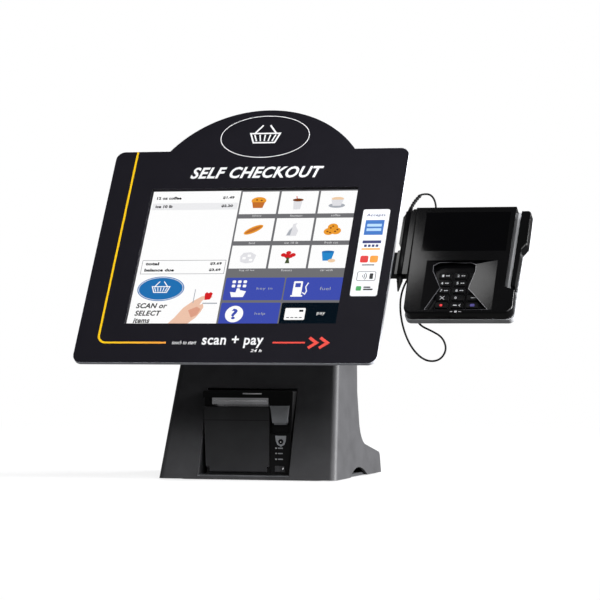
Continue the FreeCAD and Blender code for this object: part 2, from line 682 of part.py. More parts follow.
def terminal_outline(grow):
    """The terminal's tapered plan with the swipe channel's step in its right side."""
    return [
        (f"-term_half_top - {grow}", f"term_rise + {grow}"), ("63.3", f"term_rise + {grow}"), ("61", "-44"),
        (f"term_half_low + {grow}", "-50"), (f"term_half_low + {grow}", f"-term_rise - {grow}"),
        (f"-term_half_low - {grow}", f"-term_rise - {grow}"),
    ]


def terminal_front():
    body = new_body("terminal_front")
    slab(body, "XZ", terminal_outline("0"), "16", ("0", "0", "term_face"))
    soften(body, "11", lambda a, b: along(1)(a, b) and a.z < -60)
    soften(body, "2", lambda a, b: a.y < -19.9 and b.y < -19.9 and abs(a.z - b.z) > 60 and a.x < -60)
    block(body, ("-62", f"{FRONT} - 1", "14"), ("56", f"{FRONT} + 1.8", "78"), cut=True)
    block(body, ("-70", "-12", "-83"), ("60", "5", "84"), cut=True)
    # sloping floor of the keypad recess, then the waisted window through it
    for side in ("46.8", "-51.8"):
        wedge = [(side, FRONT), (side, f"{FRONT} - 1"), ("-2", f"{FRONT} - 1"), ("-2", "-12.8")]
        slab(body, "XY", wedge, "80", ("0", "0", "-81.5"), cut=True)
    slab(body, "XZ", [
        ("-42", "-9"), ("-34", "-3.5"), ("-20", "-1.6"), ("8", "-1.6"), ("16.5", "-6"), ("17", "-16"),
        ("10", "-43.8"), ("41.5", "-81"), ("-46", "-81"), ("-29", "-43.8"), ("-41.5", "-18"),
    ], "20", ("0", "0", "25"), cut=True)
    block(body, ("-32", "-10", "-term_rise - 3"), ("26", "-8.4", "-term_rise + 3"), cut=True)
    finish(body, "terminal_front", "terminal")


def terminal_rear():
    body = new_body("terminal_rear")
    slab(body, "XZ", [
        ("-term_half_top - 1", "term_rise + 1"), ("66", "term_rise + 1"), ("84.5", "78"), ("84.5", "24"),
        ("77.5", "14"), ("term_half_low + 1", "-50"), ("term_half_low + 1", "-term_rise - 1"),
        ("-term_half_low - 1", "-term_rise - 1"),
    ], "9", ("0", "0", "3.8"))
    soften(body, "9", lambda a, b: along(1)(a, b) and (a.x < 0 or a.z < -60))
    block(body, ("-60", "5", "-70"), ("60", "25", "60"))
    block(body, ("-57", "-3.9", "-67"), ("57", "22", "57"), cut=True)
    finish(body, "terminal_rear", "terminal")


def terminal_screen():
    lens = new_body("terminal_lens")
    block(lens, ("-61.7", f"{FRONT} + 0.1", "14.3"), ("55.7", f"{FRONT} + 1.7", "77.7"))
    finish(lens, "terminal_lens", "terminal")
    board = new_body("terminal_board")
    block(board, ("-52", "3", "-62"), ("52", "4.6", "52"))
    block(board, ("-20", "4.5", "-10"), ("10", "8", "20"))
    block(board, ("-40", "-2", "20"), ("34", "3.1", "50"))
    finish(board, "terminal_board", "terminal")


def terminal_bracket():
    pivot = "(arm_v - term_v)"
    body = new_body("terminal_bracket")
    block(body, ("-34", "25.2", f"{pivot} - 30"), ("34", "28.2", f"{pivot} + 30"))
    block(body, ("306.4 - term_x", "28", f"{pivot} - 9"), ("330.6 - term_x", "arm_depth", f"{pivot} + 9"))
    rod(body, "x", "9", "24.2", ("306.4 - term_x", "arm_depth", pivot))
    rod(body, "x", "4 + fit_gap", "60", ("-40", "arm_depth", pivot), cut=True)
    finish(body, "terminal_bracket", "terminal")


def keypad():
    columns = [f"(key_mid + {k} * key_pitch)" for k in (-1, 0, 1)]
    rows = [f"(key_top - {k} * key_step)" for k in range(5)]
    deck = new_body("keypad_deck")
    block(deck, ("-48", "-10", "-82.5"), ("44", "-7.2", "2"))
    names = ["1", "2", "3", "4", "5", "6", "7", "8", "9", "clear", "0", "dash", "cancel", "correct", "enter"]
    for k, name in enumerate(names):
        x = columns[k % 3]
        z = rows[k // 3]
        block(deck, (f"{x} - key_wide / 2 - 0.4", "-14", f"{z} - key_high / 2 - 0.4"),
              (f"{x} + key_wide / 2 + 0.4", "-4", f"{z} + key_high / 2 + 0.4"), cut=True)
        key = new_body("key_" + name)
        block(key, (f"{x} - key_wide / 2", "-11.6", f"{z} - key_high / 2"),
              (f"{x} + key_wide / 2", "-8", f"{z} + key_high / 2"))
        soften(key, "1.2", along(1))
        finish(key, "key_" + name, "terminal")
    finish(deck, "keypad_deck", "terminal")


def swipe_rail():
    body = new_body("swipe_rail")
    slab(body, "XZ", [
        ("71.3", "80"), ("84.3", "80"), ("84.3", "24.5"), ("77.2", "14"), ("75", "-43.4"), ("69", "-43.4"),
    ], "15.8", ("0", "0", "term_face"))
    soften(body, "5", lambda a, b: along(1)(a, b) and a.x > 80)
    soften(body, "2", lambda a, b: a.y < -19.9 and b.y < -19.9 and a.x > 76 and b.x > 76)
    finish(body, "swipe_rail", "terminal")


def stylus_set():
    holder = new_body("stylus_holder")
    slab(holder, "XZ", [
        ("-78.6", "84"), ("-88", "84"), ("-92", "82"), ("-96.2", "74"), ("-96.4", "30"), ("-92", "22"),
        ("-92", "20"), ("-96.6", "18"), ("-96.6", "-20"), ("-78.6", "-20"),
    ], "13", ("0", "0", "15"))
    rod(holder, "z", "stylus_radius + 0.3", "200", ("stylus_x", "stylus_depth", "-60"), cut=True)
    finish(holder, "stylus_holder", "terminal")

    stylus = new_body("stylus")
    rod(stylus, "z", "stylus_radius", "122.2", ("stylus_x", "stylus_depth", "-28"))
    tip = solid(stylus, "AdditiveCone", Radius1="1", Radius2="stylus_radius", Height="16")
    move(tip, ("stylus_x", "stylus_depth", "-44"))
    finish(stylus, "stylus", "terminal")


def route_tube(route, radius):
    """A tube along straight runs joined by tangent arcs, each as large as its two runs allow."""
    points = [Vector(*p) for p in route]
    edges = []
    start = points[0]
    length = 0.0
    radii = []
    for before, here, after in zip(points, points[1:], points[2:]):
        first = here - before
        second = after - here
        turn = first.getAngle(second)
        reach = 0.45 * min(first.Length, second.Length)
        radii.append(reach / math.tan(turn / 2))
        a = here - first.normalize() * reach
        b = here + second.normalize() * reach
        bisector = (a + b) * 0.5 - here
        bow = radii[-1] / math.cos(turn / 2) - radii[-1]
        middle = here + bisector.normalize() * bow
        edges.append(Part.LineSegment(start, a).toShape())
        edges.append(Part.Arc(a, middle, b).toShape())
        length += (a - start).Length + radii[-1] * turn
        start = b
    edges.append(Part.LineSegment(start, points[-1]).toShape())
    length += (points[-1] - start).Length
    wire = Part.Wire(edges)
    direction = (points[1] - points[0]).normalize()
    section = Part.Wire(Part.makeCircle(radius, points[0], direction))
    tube = wire.makePipeShell([section], True, False)
    expected = math.pi * radius ** 2 * length
    print(f"tube length {length:.1f} radii {[round(r, 1) for r in radii]} "
          f"volume ratio {tube.Volume / expected:.4f}")
    return tube


# the tether's route: up out of the strain relief, over the terminal's top edge, down behind it, out at
# the left edge, round a hanging loop and back up behind the bottom edge
RELIEF = [(235.6, -114.8, 381.0), (238.5, -107.5, 391.0), (245.6, -99.5, 399.5)]
TETHER = [
    (246.0, -99.0, 400.0), (254.5, -94.0, 402.5), (263.5, -92.5, 395.5), (268.0, -97.0, 378.0),
    (264.0, -110.0, 352.0), (254.0, -129.0, 318.0), (243.5, -149.0, 290.0), (235.0, -168.0, 266.0),
    (235.5, -181.0, 240.0), (243.0, -188.0, 210.0), (256.0, -191.0, 185.0), (274.0, -192.0, 169.5),
    (294.0, -192.5, 170.0), (304.5, -192.5, 185.0), (298.5, -191.5, 202.0), (282.0, -189.5, 211.0),
    (266.0, -185.5, 217.5), (257.0, -178.0, 229.0), (256.5, -166.5, 240.0),
]


def tether():
    relief = doc.addObject("Part::Feature", "strain_relief")
    relief.Shape = route_tube(RELIEF, 2.6)
    relief.Label = "strain_relief"
    cord = doc.addObject("Part::Feature", "stylus_tether")
    cord.Shape = route_tube(TETHER, DIMENSIONS["tether_radius"])
    cord.Label = "stylus_tether"
    pieces.extend([relief, cord])


# ---------------------------------------------------------------- build and write
for build in (pedestal_shell, base_plate, rubber_mat, case_screws, rear_access_cover, printer_bay,
              mast_bracket, tilt_pin, printer_case, front_cover, feed_train, printer_mechanism,
              printer_controls, sign_board, display_stack, rear_housing, computer_board, tilt_bracket,
              display_screws, terminal_arm, terminal_front, terminal_rear,
              terminal_screen, terminal_bracket, keypad, swipe_rail, stylus_set, tether):
    build()
doc.recompute()

for item in doc.Objects:
    if {"Invalid", "Error"} & set(item.State):
        raise RuntimeError(f"{item.Name} ({item.Label}) did not build: {item.State}")
for item in pieces:
    shape = item.Shape
    if shape.isNull() or not shape.isValid() or not shape.Solids:
        raise RuntimeError(f"{item.Label} has no valid solid")
for item in pieces:
    item.Shape.exportStep(f"parts/{item.Label}.step")
print(len(pieces), "pieces written")
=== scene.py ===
import math

import bmesh
import bpy
from mathutils import Matrix, Vector


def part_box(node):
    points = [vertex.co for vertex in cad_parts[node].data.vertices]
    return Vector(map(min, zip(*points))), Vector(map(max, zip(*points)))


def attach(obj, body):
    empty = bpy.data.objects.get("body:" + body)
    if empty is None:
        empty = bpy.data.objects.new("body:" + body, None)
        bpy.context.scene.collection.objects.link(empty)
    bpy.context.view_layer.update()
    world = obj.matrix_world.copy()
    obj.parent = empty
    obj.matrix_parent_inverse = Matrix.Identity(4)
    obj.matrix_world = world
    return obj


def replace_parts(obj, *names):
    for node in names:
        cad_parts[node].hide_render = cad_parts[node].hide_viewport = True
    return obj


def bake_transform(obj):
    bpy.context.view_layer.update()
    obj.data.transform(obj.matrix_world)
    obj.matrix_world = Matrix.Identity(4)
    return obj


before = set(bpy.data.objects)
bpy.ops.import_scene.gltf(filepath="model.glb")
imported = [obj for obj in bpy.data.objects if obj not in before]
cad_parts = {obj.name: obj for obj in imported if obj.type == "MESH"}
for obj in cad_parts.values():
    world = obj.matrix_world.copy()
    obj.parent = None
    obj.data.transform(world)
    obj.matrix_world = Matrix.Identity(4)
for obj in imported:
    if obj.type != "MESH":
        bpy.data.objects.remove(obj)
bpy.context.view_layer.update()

# ---------------------------------------------------------------- planes that artwork and trim lie on
MM = 0.001
LEAN = math.radians(32.7)        # the head leans back by this much
BOARD_THICK = 5.0
BOARD_LOW = 178.5                # screen centre down to the board's bottom edge
TERMINAL_AT = (325.0, -23.5)     # the terminal's centre on the board's plane
WINDOW_HALF, WINDOW_RISE = 152.6, 114.6      # the board's window, from its centre to its edges


def plane(origin, right, up):
    """A matrix from local millimetres (right, up, outward) to the row frame in metres."""
    right, up = Vector(right), Vector(up)
    out = right.cross(up)
    columns = [axis * MM for axis in (right, up, out)]
    rows = [[column[k] for column in columns] + [origin[k]] for k in range(3)]
    return Matrix(rows + [[0, 0, 0, 1]])


def head_origin():
    """The screen's centre on the board's front face, worked out from the board's lowest corner."""
    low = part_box("sign_board")[0]
    rise = BOARD_LOW * MM
    return (
        0.0,
        low.y + rise * math.sin(LEAN),
        low.z + rise * math.cos(LEAN) + BOARD_THICK * MM * math.sin(LEAN),
    )


HEAD = plane(head_origin(), (1, 0, 0), (0, math.sin(LEAN), math.cos(LEAN)))
TERMINAL = HEAD @ Matrix.Translation((*TERMINAL_AT, 0))
FRONT = plane((0, 0, 0), (1, 0, 0), (0, 0, 1))


# ---------------------------------------------------------------- materials
def tone(red, green, blue):
    """A linear colour from 0-255 display values."""
    def linear(value):
        share = value / 255
        return share / 12.92 if share <= 0.04045 else ((share + 0.055) / 1.055) ** 2.4
    return (linear(red), linear(green), linear(blue), 1.0)


def noise(tree, scale, detail=4.0, stretch=(1, 1, 1)):
    """Noise in object space; scale is in waves per metre."""
    place = tree.nodes.new("ShaderNodeTexCoord")
    mapping = tree.nodes.new("ShaderNodeMapping")
    mapping.inputs["Scale"].default_value = stretch
    texture = tree.nodes.new("ShaderNodeTexNoise")
    texture.inputs["Scale"].default_value = scale
    texture.inputs["Detail"].default_value = detail
    tree.links.new(place.outputs["Object"], mapping.inputs["Vector"])
    tree.links.new(mapping.outputs["Vector"], texture.inputs["Vector"])
    return texture.outputs["Fac"]


def ramp(tree, source, low, high, start=0.35, end=0.65):
    """A colour ramp between two colours or two grey values."""
    item = tree.nodes.new("ShaderNodeValToRGB")
    item.color_ramp.elements[0].position = start
    item.color_ramp.elements[1].position = end
    for element, value in zip(item.color_ramp.elements, (low, high)):
        element.color = value if hasattr(value, "__len__") else (value, value, value, 1)
    tree.links.new(source, item.inputs["Fac"])
    return item.outputs["Color"]


def scaled(colour, factor):
    """The colour made lighter or darker."""
    return tuple(min(1.0, channel * factor) for channel in colour[:3]) + (1.0,)


def surface(name, colour, rough, metal=0.0, grain=2200, depth=0.15, drift=0.12,
            coat=0.0, stretch=(1, 1, 1), gloss=0.5):
    """A material whose colour and polish drift slightly, over a fine grain in its surface."""
    material = bpy.data.materials.new(name)
    material.use_nodes = True
    tree = material.node_tree
    shader = tree.nodes["Principled BSDF"]
    shader.inputs["Metallic"].default_value = metal
    shader.inputs["Coat Weight"].default_value = coat
    shader.inputs["Coat Roughness"].default_value = 0.08
    shader.inputs["Specular IOR Level"].default_value = gloss
    cloud = noise(tree, 28, 6.0)
    fine = noise(tree, grain, 3.0, stretch)
    base = ramp(tree, cloud, scaled(colour, 1 - drift), scaled(colour, 1 + drift))
    polish = ramp(tree, fine, max(0.02, rough * 0.88), min(1.0, rough * 1.12))
    tree.links.new(base, shader.inputs["Base Color"])
    tree.links.new(polish, shader.inputs["Roughness"])
    bump = tree.nodes.new("ShaderNodeBump")
    bump.inputs["Strength"].default_value = depth
    bump.inputs["Distance"].default_value = 0.0003
    tree.links.new(fine, bump.inputs["Height"])
    tree.links.new(bump.outputs["Normal"], shader.inputs["Normal"])
    return material


GLASS_LOSS = 1.02                # the screen's light makes up for what its glass keeps


def glow(name, colour):
    """A lit patch of the screen: dark where it reflects, with its own light."""
    material = bpy.data.materials.new(name)
    material.use_nodes = True
    tree = material.node_tree
    shader = tree.nodes["Principled BSDF"]
    shader.inputs["Base Color"].default_value = (0, 0, 0, 1)
    shader.inputs["Roughness"].default_value = 0.4
    shader.inputs["Specular IOR Level"].default_value = 0.0
    shader.inputs["Emission Strength"].default_value = GLASS_LOSS
    cells = noise(tree, 900, 1.0)
    tree.links.new(ramp(tree, cells, scaled(colour, 0.97), colour), shader.inputs["Emission Color"])
    return material


def clear_glass(name, tint, rough):
    """Anti-glare glass with faint smears."""
    material = bpy.data.materials.new(name)
    material.use_nodes = True
    tree = material.node_tree
    shader = tree.nodes["Principled BSDF"]
    shader.inputs["Base Color"].default_value = tint
    shader.inputs["Transmission Weight"].default_value = 1.0
    shader.inputs["IOR"].default_value = 1.15
    shader.inputs["Specular IOR Level"].default_value = 0.1
    smears = noise(tree, 60, 5.0)
    tree.links.new(ramp(tree, smears, rough, rough * 2.5), shader.inputs["Roughness"])
    return material


def circuit_board(name):
    """Green solder mask over a grid of copper tracks."""
    material = surface(name, tone(16, 74, 40), 0.35, coat=0.4)
    tree = material.node_tree
    shader = tree.nodes["Principled BSDF"]
    place = tree.nodes.new("ShaderNodeTexCoord")
    bricks = tree.nodes.new("ShaderNodeTexBrick")
    bricks.inputs["Scale"].default_value = 90
    bricks.inputs["Color1"].default_value = tone(16, 74, 40)
    bricks.inputs["Color2"].default_value = tone(22, 88, 50)
    bricks.inputs["Mortar"].default_value = tone(96, 120, 52)
    bricks.inputs["Mortar Size"].default_value = 0.012
    tree.links.new(place.outputs["Object"], bricks.inputs["Vector"])
    tree.links.new(bricks.outputs["Color"], shader.inputs["Base Color"])
    return material


PEDESTAL = surface("pedestal_plastic", tone(62, 62, 64), 0.5, grain=1500, depth=0.45, gloss=0.2)
STEEL = surface("zinc_steel", tone(150, 152, 156), 0.34, metal=1.0, grain=900, stretch=(1, 8, 1))
BRIGHT_STEEL = surface("brushed_steel", tone(214, 214, 218), 0.24, metal=1.0, grain=700,
                       stretch=(0.15, 8, 8))
RUBBER = surface("rubber", tone(24, 24, 25), 0.82, grain=1800, depth=0.5, gloss=0.3)
PRINTER_BLACK = surface("printer_black", tone(14, 14, 15), 0.45, grain=2600, depth=0.4, gloss=0.2)
PRINTER_GREY = surface("printer_grey", tone(150, 152, 156), 0.45, grain=2600, depth=0.3)
COVER_GREY = surface("cover_charcoal", tone(52, 52, 54), 0.5, grain=2600, depth=0.4, gloss=0.3)
WHITE_PLASTIC = surface("white_plastic", tone(226, 226, 228), 0.4, drift=0.03)
# painted highlight: white for the strips that stand in for light caught on the printer's top ridge and on the
# tear bar
PAINTED_HIGHLIGHT_WHITE = surface("painted_highlight_strip", tone(244, 244, 246), 0.3, drift=0.02)
PAPER = surface("paper", tone(240, 239, 234), 0.8, grain=1300, depth=0.2, drift=0.02, gloss=0.2)
BOARD_EDGE = surface("board_edge", tone(206, 208, 216), 0.3, drift=0.03, depth=0.05)
BOARD_FACE = surface("board_print_black", tone(27, 26, 32), 0.5, grain=3000, depth=0.06, drift=0.04,
                     gloss=0.06)
SCREEN_GLASS = clear_glass("screen_glass", (1, 1, 1, 1), 0.005)
DARK_LENS = surface("dark_lens", tone(2, 2, 3), 0.07, depth=0.0, gloss=0.12)
LCD = surface("lcd_panel_grey", tone(70, 70, 74), 0.4)
CIRCUIT = circuit_board("circuit_board")
TERMINAL_BLACK = surface("terminal_black", tone(5, 5, 6), 0.16, drift=0.2, depth=0.03,
                         gloss=0.22)
TERMINAL_GREY = surface("terminal_grey", tone(172, 173, 176), 0.35)
# painted highlight: grey for the line of light along the keypad window's edge
PAINTED_RIM_HIGHLIGHT = surface("painted_rim_highlight", tone(84, 84, 88), 0.2, drift=0.05, depth=0.0)
KEY_BLACK = surface("key_black", tone(5, 5, 6), 0.4, grain=3000, depth=0.3, gloss=0.1)
CORD_BLACK = surface("cord_black", tone(4, 4, 5), 0.6, grain=2600, depth=0.25, gloss=0.15)

SLOT_MATERIALS = {
    "pedestal": PEDESTAL, "steel": STEEL, "bright_steel": BRIGHT_STEEL, "rubber": RUBBER,
    "printer_black": PRINTER_BLACK, "printer_grey": PRINTER_GREY, "white_plastic": WHITE_PLASTIC,
    "paper": PAPER, "board_print": BOARD_EDGE, "screen_glass": SCREEN_GLASS, "lcd": LCD,
    "circuit": CIRCUIT, "terminal_black": TERMINAL_BLACK, "terminal_grey": TERMINAL_GREY,
    "key_black": KEY_BLACK, "cord": CORD_BLACK,
}


def paint_frame():
    """Give every CAD node the finish of the slot that it was packed with."""
    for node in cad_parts.values():
        slot = node.data.materials[0].name.split(".")[0]
        node.data.materials[0] = SLOT_MATERIALS[slot]
    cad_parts["terminal_lens"].data.materials[0] = DARK_LENS
    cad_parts["terminal_arm"].data.materials[0] = TERMINAL_BLACK
    for name in ("front_cover", "power_switch"):
        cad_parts[name].data.materials[0] = COVER_GREY


# ---------------------------------------------------------------- outlines
def rectangle(left, low, right, high, radius=0.0, steps=5):
    """A rectangle with round corners, anticlockwise."""
    if radius <= 0:
        return [(left, low), (right, low), (right, high), (left, high)]
    corners = [(right - radius, low + radius, -90), (right - radius, high - radius, 0),
               (left + radius, high - radius, 90), (left + radius, low + radius, 180)]
    return [point for x, y, start in corners for point in arc(x, y, radius, start, start + 90, steps)]


def arc(x, y, radius, start, end, steps=8):
    """Points on an arc, angles in degrees."""
    angles = [math.radians(start + (end - start) * k / steps) for k in range(steps + 1)]
    return [(x + radius * math.cos(a), y + radius * math.sin(a)) for a in angles]


def ellipse(x, y, wide, high, steps=40):
    """Half axes wide and high."""
    turns = [2 * math.pi * k / steps for k in range(steps)]
    return [(x + wide * math.cos(a), y + high * math.sin(a)) for a in turns]


def band(points, width, closed=False):
    """The outline of a line of that width along points, with mitred corners."""
    count = len(points)
    left, right = [], []
    for k, here in enumerate(points):
        before = points[(k - 1) % count] if closed or k else here
        after = points[(k + 1) % count] if closed or k < count - 1 else here
        first, second = Vector(here) - Vector(before), Vector(after) - Vector(here)
        normals = [Vector((-d.y, d.x)).normalized() for d in (first, second) if d.length > 1e-6]
        middle = sum(normals, Vector((0, 0))).normalized()
        reach = width / 2 / max(0.5, middle.dot(normals[0]))
        left.append(tuple(Vector(here) + middle * reach))
        right.append(tuple(Vector(here) - middle * reach))
    return [left, right] if closed else [left + right[::-1]]


# ---------------------------------------------------------------- pieces
def flat_mesh(loops, thick):
    """A thin closed slab from outlines; an outline inside another is a hole."""
    curve = bpy.data.curves.new("outline", "CURVE")
    curve.dimensions = "2D"
    curve.fill_mode = "BOTH"
    curve.extrude = thick / 2
    for loop in loops:
        spline = curve.splines.new("POLY")
        spline.points.add(len(loop) - 1)
        spline.use_cyclic_u = True
        for point, (x, y) in zip(spline.points, loop):
            point.co = (x, y, 0, 1)
    return mesh_from(curve)


def mesh_from(curve):
    """The mesh of a curve or a text, which is then removed."""
    holder = bpy.data.objects.new("holder", curve)
    bpy.context.scene.collection.objects.link(holder)
    bpy.context.view_layer.update()
    depsgraph = bpy.context.evaluated_depsgraph_get()
    mesh = bpy.data.meshes.new_from_object(holder.evaluated_get(depsgraph))
    bpy.data.objects.remove(holder)
    return mesh


def words_mesh(text, box, thick, slant=0.0, weight=0.0):
    """Lettering stretched to fill a box (left, low, right, high)."""
    font = bpy.data.curves.new("lettering", "FONT")
    font.body = text
    font.extrude = thick / 2
    font.shear = slant
    font.offset = weight
    font.resolution_u = 3
    font.space_character = 1.06
    mesh = mesh_from(font)
    low = [min(v.co[k] for v in mesh.vertices) for k in (0, 1)]
    high = [max(v.co[k] for v in mesh.vertices) for k in (0, 1)]
    for vertex in mesh.vertices:
        for k in (0, 1):
            share = (vertex.co[k] - low[k]) / (high[k] - low[k])
            vertex.co[k] = box[k] + share * (box[k + 2] - box[k])
    return mesh


def add_piece(name, mesh, material, body, smooth=False):
    """An object from a mesh already in the row frame, riding on a body."""
    piece = bpy.data.objects.new(name, mesh)
    bpy.context.scene.collection.objects.link(piece)
    mesh.materials.clear()
    mesh.materials.append(material)
    if smooth:
        for polygon in mesh.polygons:
            polygon.use_smooth = True
    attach(piece, body)
    return piece


def joined(meshes):
    """One mesh from several, which are then removed."""
    builder = bmesh.new()
    for mesh in meshes:
        builder.from_mesh(mesh)
        bpy.data.meshes.remove(mesh)
    bmesh.ops.recalc_face_normals(builder, faces=builder.faces)
    result = bpy.data.meshes.new("joined")
    builder.to_mesh(result)
    builder.free()
    return result


class Artwork:
    """Flat artwork on one plane, gathered by layer and colour into one thin piece each."""

    def __init__(self, name, base, body, slot, height, step, thick):
        self.name, self.base, self.body, self.slot = name, base, body, slot
        self.height, self.step, self.thick = height, step, thick
        self.meshes = {}

    def add(self, layer, colour, mesh):
        """Keep a mesh at its layer's height."""
        mesh.transform(Matrix.Translation((0, 0, self.height + layer * self.step)))
        self.meshes.setdefault((layer, colour), []).append(mesh)

    def shape(self, layer, colour, *loops):
        self.add(layer, colour, flat_mesh(loops, self.thick))

    def words(self, layer, colour, text, box, slant=0.0, weight=0.0):
        self.add(layer, colour, words_mesh(text, box, self.thick, slant, weight))

    def build(self, inks):
        for (layer, colour), meshes in sorted(self.meshes.items()):
            mesh = joined(meshes)
            mesh.transform(self.base)
            add_piece(f"{self.name}_{colour}_{layer}", mesh, inks[colour], self.body)


def solid_from(loop, base, low, high, edge=0.0, segments=2):
    """A slab between two heights over a plane, its edges rounded off."""
    builder = bmesh.new()
    ring = [builder.verts.new((x, y, low)) for x, y in loop]
    face = builder.faces.new(ring)
    lifted = bmesh.ops.extrude_face_region(builder, geom=[face])
    top = [item for item in lifted["geom"] if isinstance(item, bmesh.types.BMVert)]
    bmesh.ops.translate(builder, vec=(0, 0, high - low), verts=top)
    bmesh.ops.recalc_face_normals(builder, faces=builder.faces)
    if edge:
        rims = [e for e in builder.edges if abs(e.verts[0].co.z - e.verts[1].co.z) < 1e-6]
        bmesh.ops.bevel(builder, geom=rims, offset=edge, segments=segments, affect="EDGES", profile=0.5)
    mesh = bpy.data.meshes.new("slab")
    builder.to_mesh(mesh)
    builder.free()
    mesh.transform(base)
    return mesh


def turned(profile, steps=32):
    """A closed turned shape about local Z from (radius, height) points that start and end on the axis."""
    builder = bmesh.new()
    rings = []
    for radius, height in profile:
        if radius < 1e-6:
            rings.append([builder.verts.new((0, 0, height))])
            continue
        turns = [2 * math.pi * k / steps for k in range(steps)]
        rings.append([builder.verts.new((radius * math.cos(a), radius * math.sin(a), height)) for a in turns])
    for lower, upper in zip(rings, rings[1:]):
        for k in range(steps):
            after = (k + 1) % steps
            corners = [lower[k % len(lower)], lower[after % len(lower)],
                       upper[after % len(upper)], upper[k % len(upper)]]
            builder.faces.new(list(dict.fromkeys(corners)))
    bmesh.ops.recalc_face_normals(builder, faces=builder.faces)
    mesh = bpy.data.meshes.new("turned")
    builder.to_mesh(mesh)
    builder.free()
    return mesh


def swept(path, radii, steps=12):
    """A closed tube along points; the circle is carried along without twisting."""
    points = [Vector(p) for p in path]
    tangents = [(points[min(k + 1, len(points) - 1)] - points[max(k - 1, 0)]).normalized()
                for k in range(len(points))]
    side = tangents[0].orthogonal().normalized()
    builder = bmesh.new()
    rings = []
    for point, tangent, radius in zip(points, tangents, radii):
        side = (side - tangent * side.dot(tangent)).normalized()
        other = tangent.cross(side)
        turns = [2 * math.pi * k / steps for k in range(steps)]
        rings.append([builder.verts.new(point + (side * math.cos(a) + other * math.sin(a)) * radius)
                      for a in turns])
    for lower, upper in zip(rings, rings[1:]):
        for k in range(steps):
            after = (k + 1) % steps
            builder.faces.new((lower[k], lower[after], upper[after], upper[k]))
    builder.faces.new(rings[0][::-1])
    builder.faces.new(rings[-1])
    bmesh.ops.recalc_face_normals(builder, faces=builder.faces)
    mesh = bpy.data.meshes.new("tube")
    builder.to_mesh(mesh)
    builder.free()
    return mesh


# ---------------------------------------------------------------- sign board
YELLOW, ORANGE = tone(255, 205, 0), tone(247, 160, 60)


def stripe_ink():
    """Yellow that turns orange along the bottom run, towards +X."""
    material = surface("stripe_ink", YELLOW, 0.45, drift=0.02, depth=0.03)
    tree = material.node_tree
    place = tree.nodes.new("ShaderNodeTexCoord")
    split = tree.nodes.new("ShaderNodeSeparateXYZ")
    tree.links.new(place.outputs["Object"], split.inputs["Vector"])
    stretch = tree.nodes.new("ShaderNodeMapRange")
    stretch.inputs["From Min"].default_value = -0.175
    stretch.inputs["From Max"].default_value = -0.086
    tree.links.new(split.outputs["X"], stretch.inputs["Value"])
    colour = ramp(tree, stretch.outputs["Result"], YELLOW, ORANGE, 0.0, 1.0)
    tree.links.new(colour, tree.nodes["Principled BSDF"].inputs["Base Color"])
    return material


def print_ink(name, colour):
    return surface("ink_" + name, colour, 0.42, drift=0.02, depth=0.03)


BOARD_INKS = {
    "black": BOARD_FACE,
    "yellow": stripe_ink(),
    "white": print_ink("white", tone(244, 244, 246)),
    "sticker": print_ink("sticker", tone(240, 242, 246)),
    "red": print_ink("red", tone(232, 74, 62)),
    "blue": print_ink("blue", tone(38, 104, 184)),
    "pale": print_ink("pale", tone(170, 204, 236)),
    "navy": print_ink("navy", tone(34, 46, 110)),
    "gold": print_ink("gold", tone(232, 168, 40)),
    "orange": print_ink("orange", tone(244, 150, 36)),
    "scarlet": print_ink("scarlet", tone(214, 36, 34)),
    "green": print_ink("green", tone(60, 160, 84)),
    "dark": print_ink("dark", tone(20, 20, 22)),
}


def board_outline():
    """Rounded board with the arch on top, inset by a hair from the CAD board."""
    half, low, high, corner = 218.0, 0.2 - BOARD_LOW, 180.2, 13.0
    arch_radius, arch_mid = 169.8, 81.1
    meet = math.degrees(math.asin((high - arch_mid) / arch_radius))
    points = arc(-half + corner, low + corner, corner, 180, 270, 8)
    points += arc(half - corner, low + corner, corner, 270, 360, 8)
    points += arc(half - corner, high - corner, corner, 0, 90, 8)
    points += arc(0, arch_mid, arch_radius, meet, 180 - meet, 48)
    points += arc(-half + corner, high - corner, corner, 90, 180, 8)
    return points


def basket(x, y, size):
    """Outlines of a plain shopping basket, drawn with lines, size across."""
    rim = size / 2
    body = [(x - rim * 0.72, y - rim * 0.62), (x + rim * 0.72, y - rim * 0.62), (x + rim, y + rim * 0.12),
            (x - rim, y + rim * 0.12)]
    loops = band(body, size * 0.055, closed=True)
    for k in (-2, -1, 0, 1, 2):
        foot, top = x + k * rim * 0.26, x + k * rim * 0.36
        loops += band([(foot, y - rim * 0.5), (top, y + rim * 0.02)], size * 0.045)
    for turn in (-1, 1):
        loops += band([(x + turn * rim * 0.7, y + rim * 0.16), (x + turn * rim * 0.24, y + rim * 0.78)],
                      size * 0.055)
    return loops


def window_edge_shade():
    """Painted shade: the inner edge of the board's window covered in the board's black print, where that cut
    edge lies in shadow.
    """
    loops = [rectangle(gap - WINDOW_HALF, gap - WINDOW_RISE, WINDOW_HALF - gap, WINDOW_RISE - gap)
             for gap in (0.05, 0.3)]
    edge = flat_mesh(loops, BOARD_THICK - 0.1)
    edge.transform(HEAD @ Matrix.Translation((0, 0, -BOARD_THICK / 2)))
    # painted shade: black over the window's cut edge, which is otherwise the board's pale edge
    add_piece("window_edge_shade", edge, BOARD_FACE, "head")


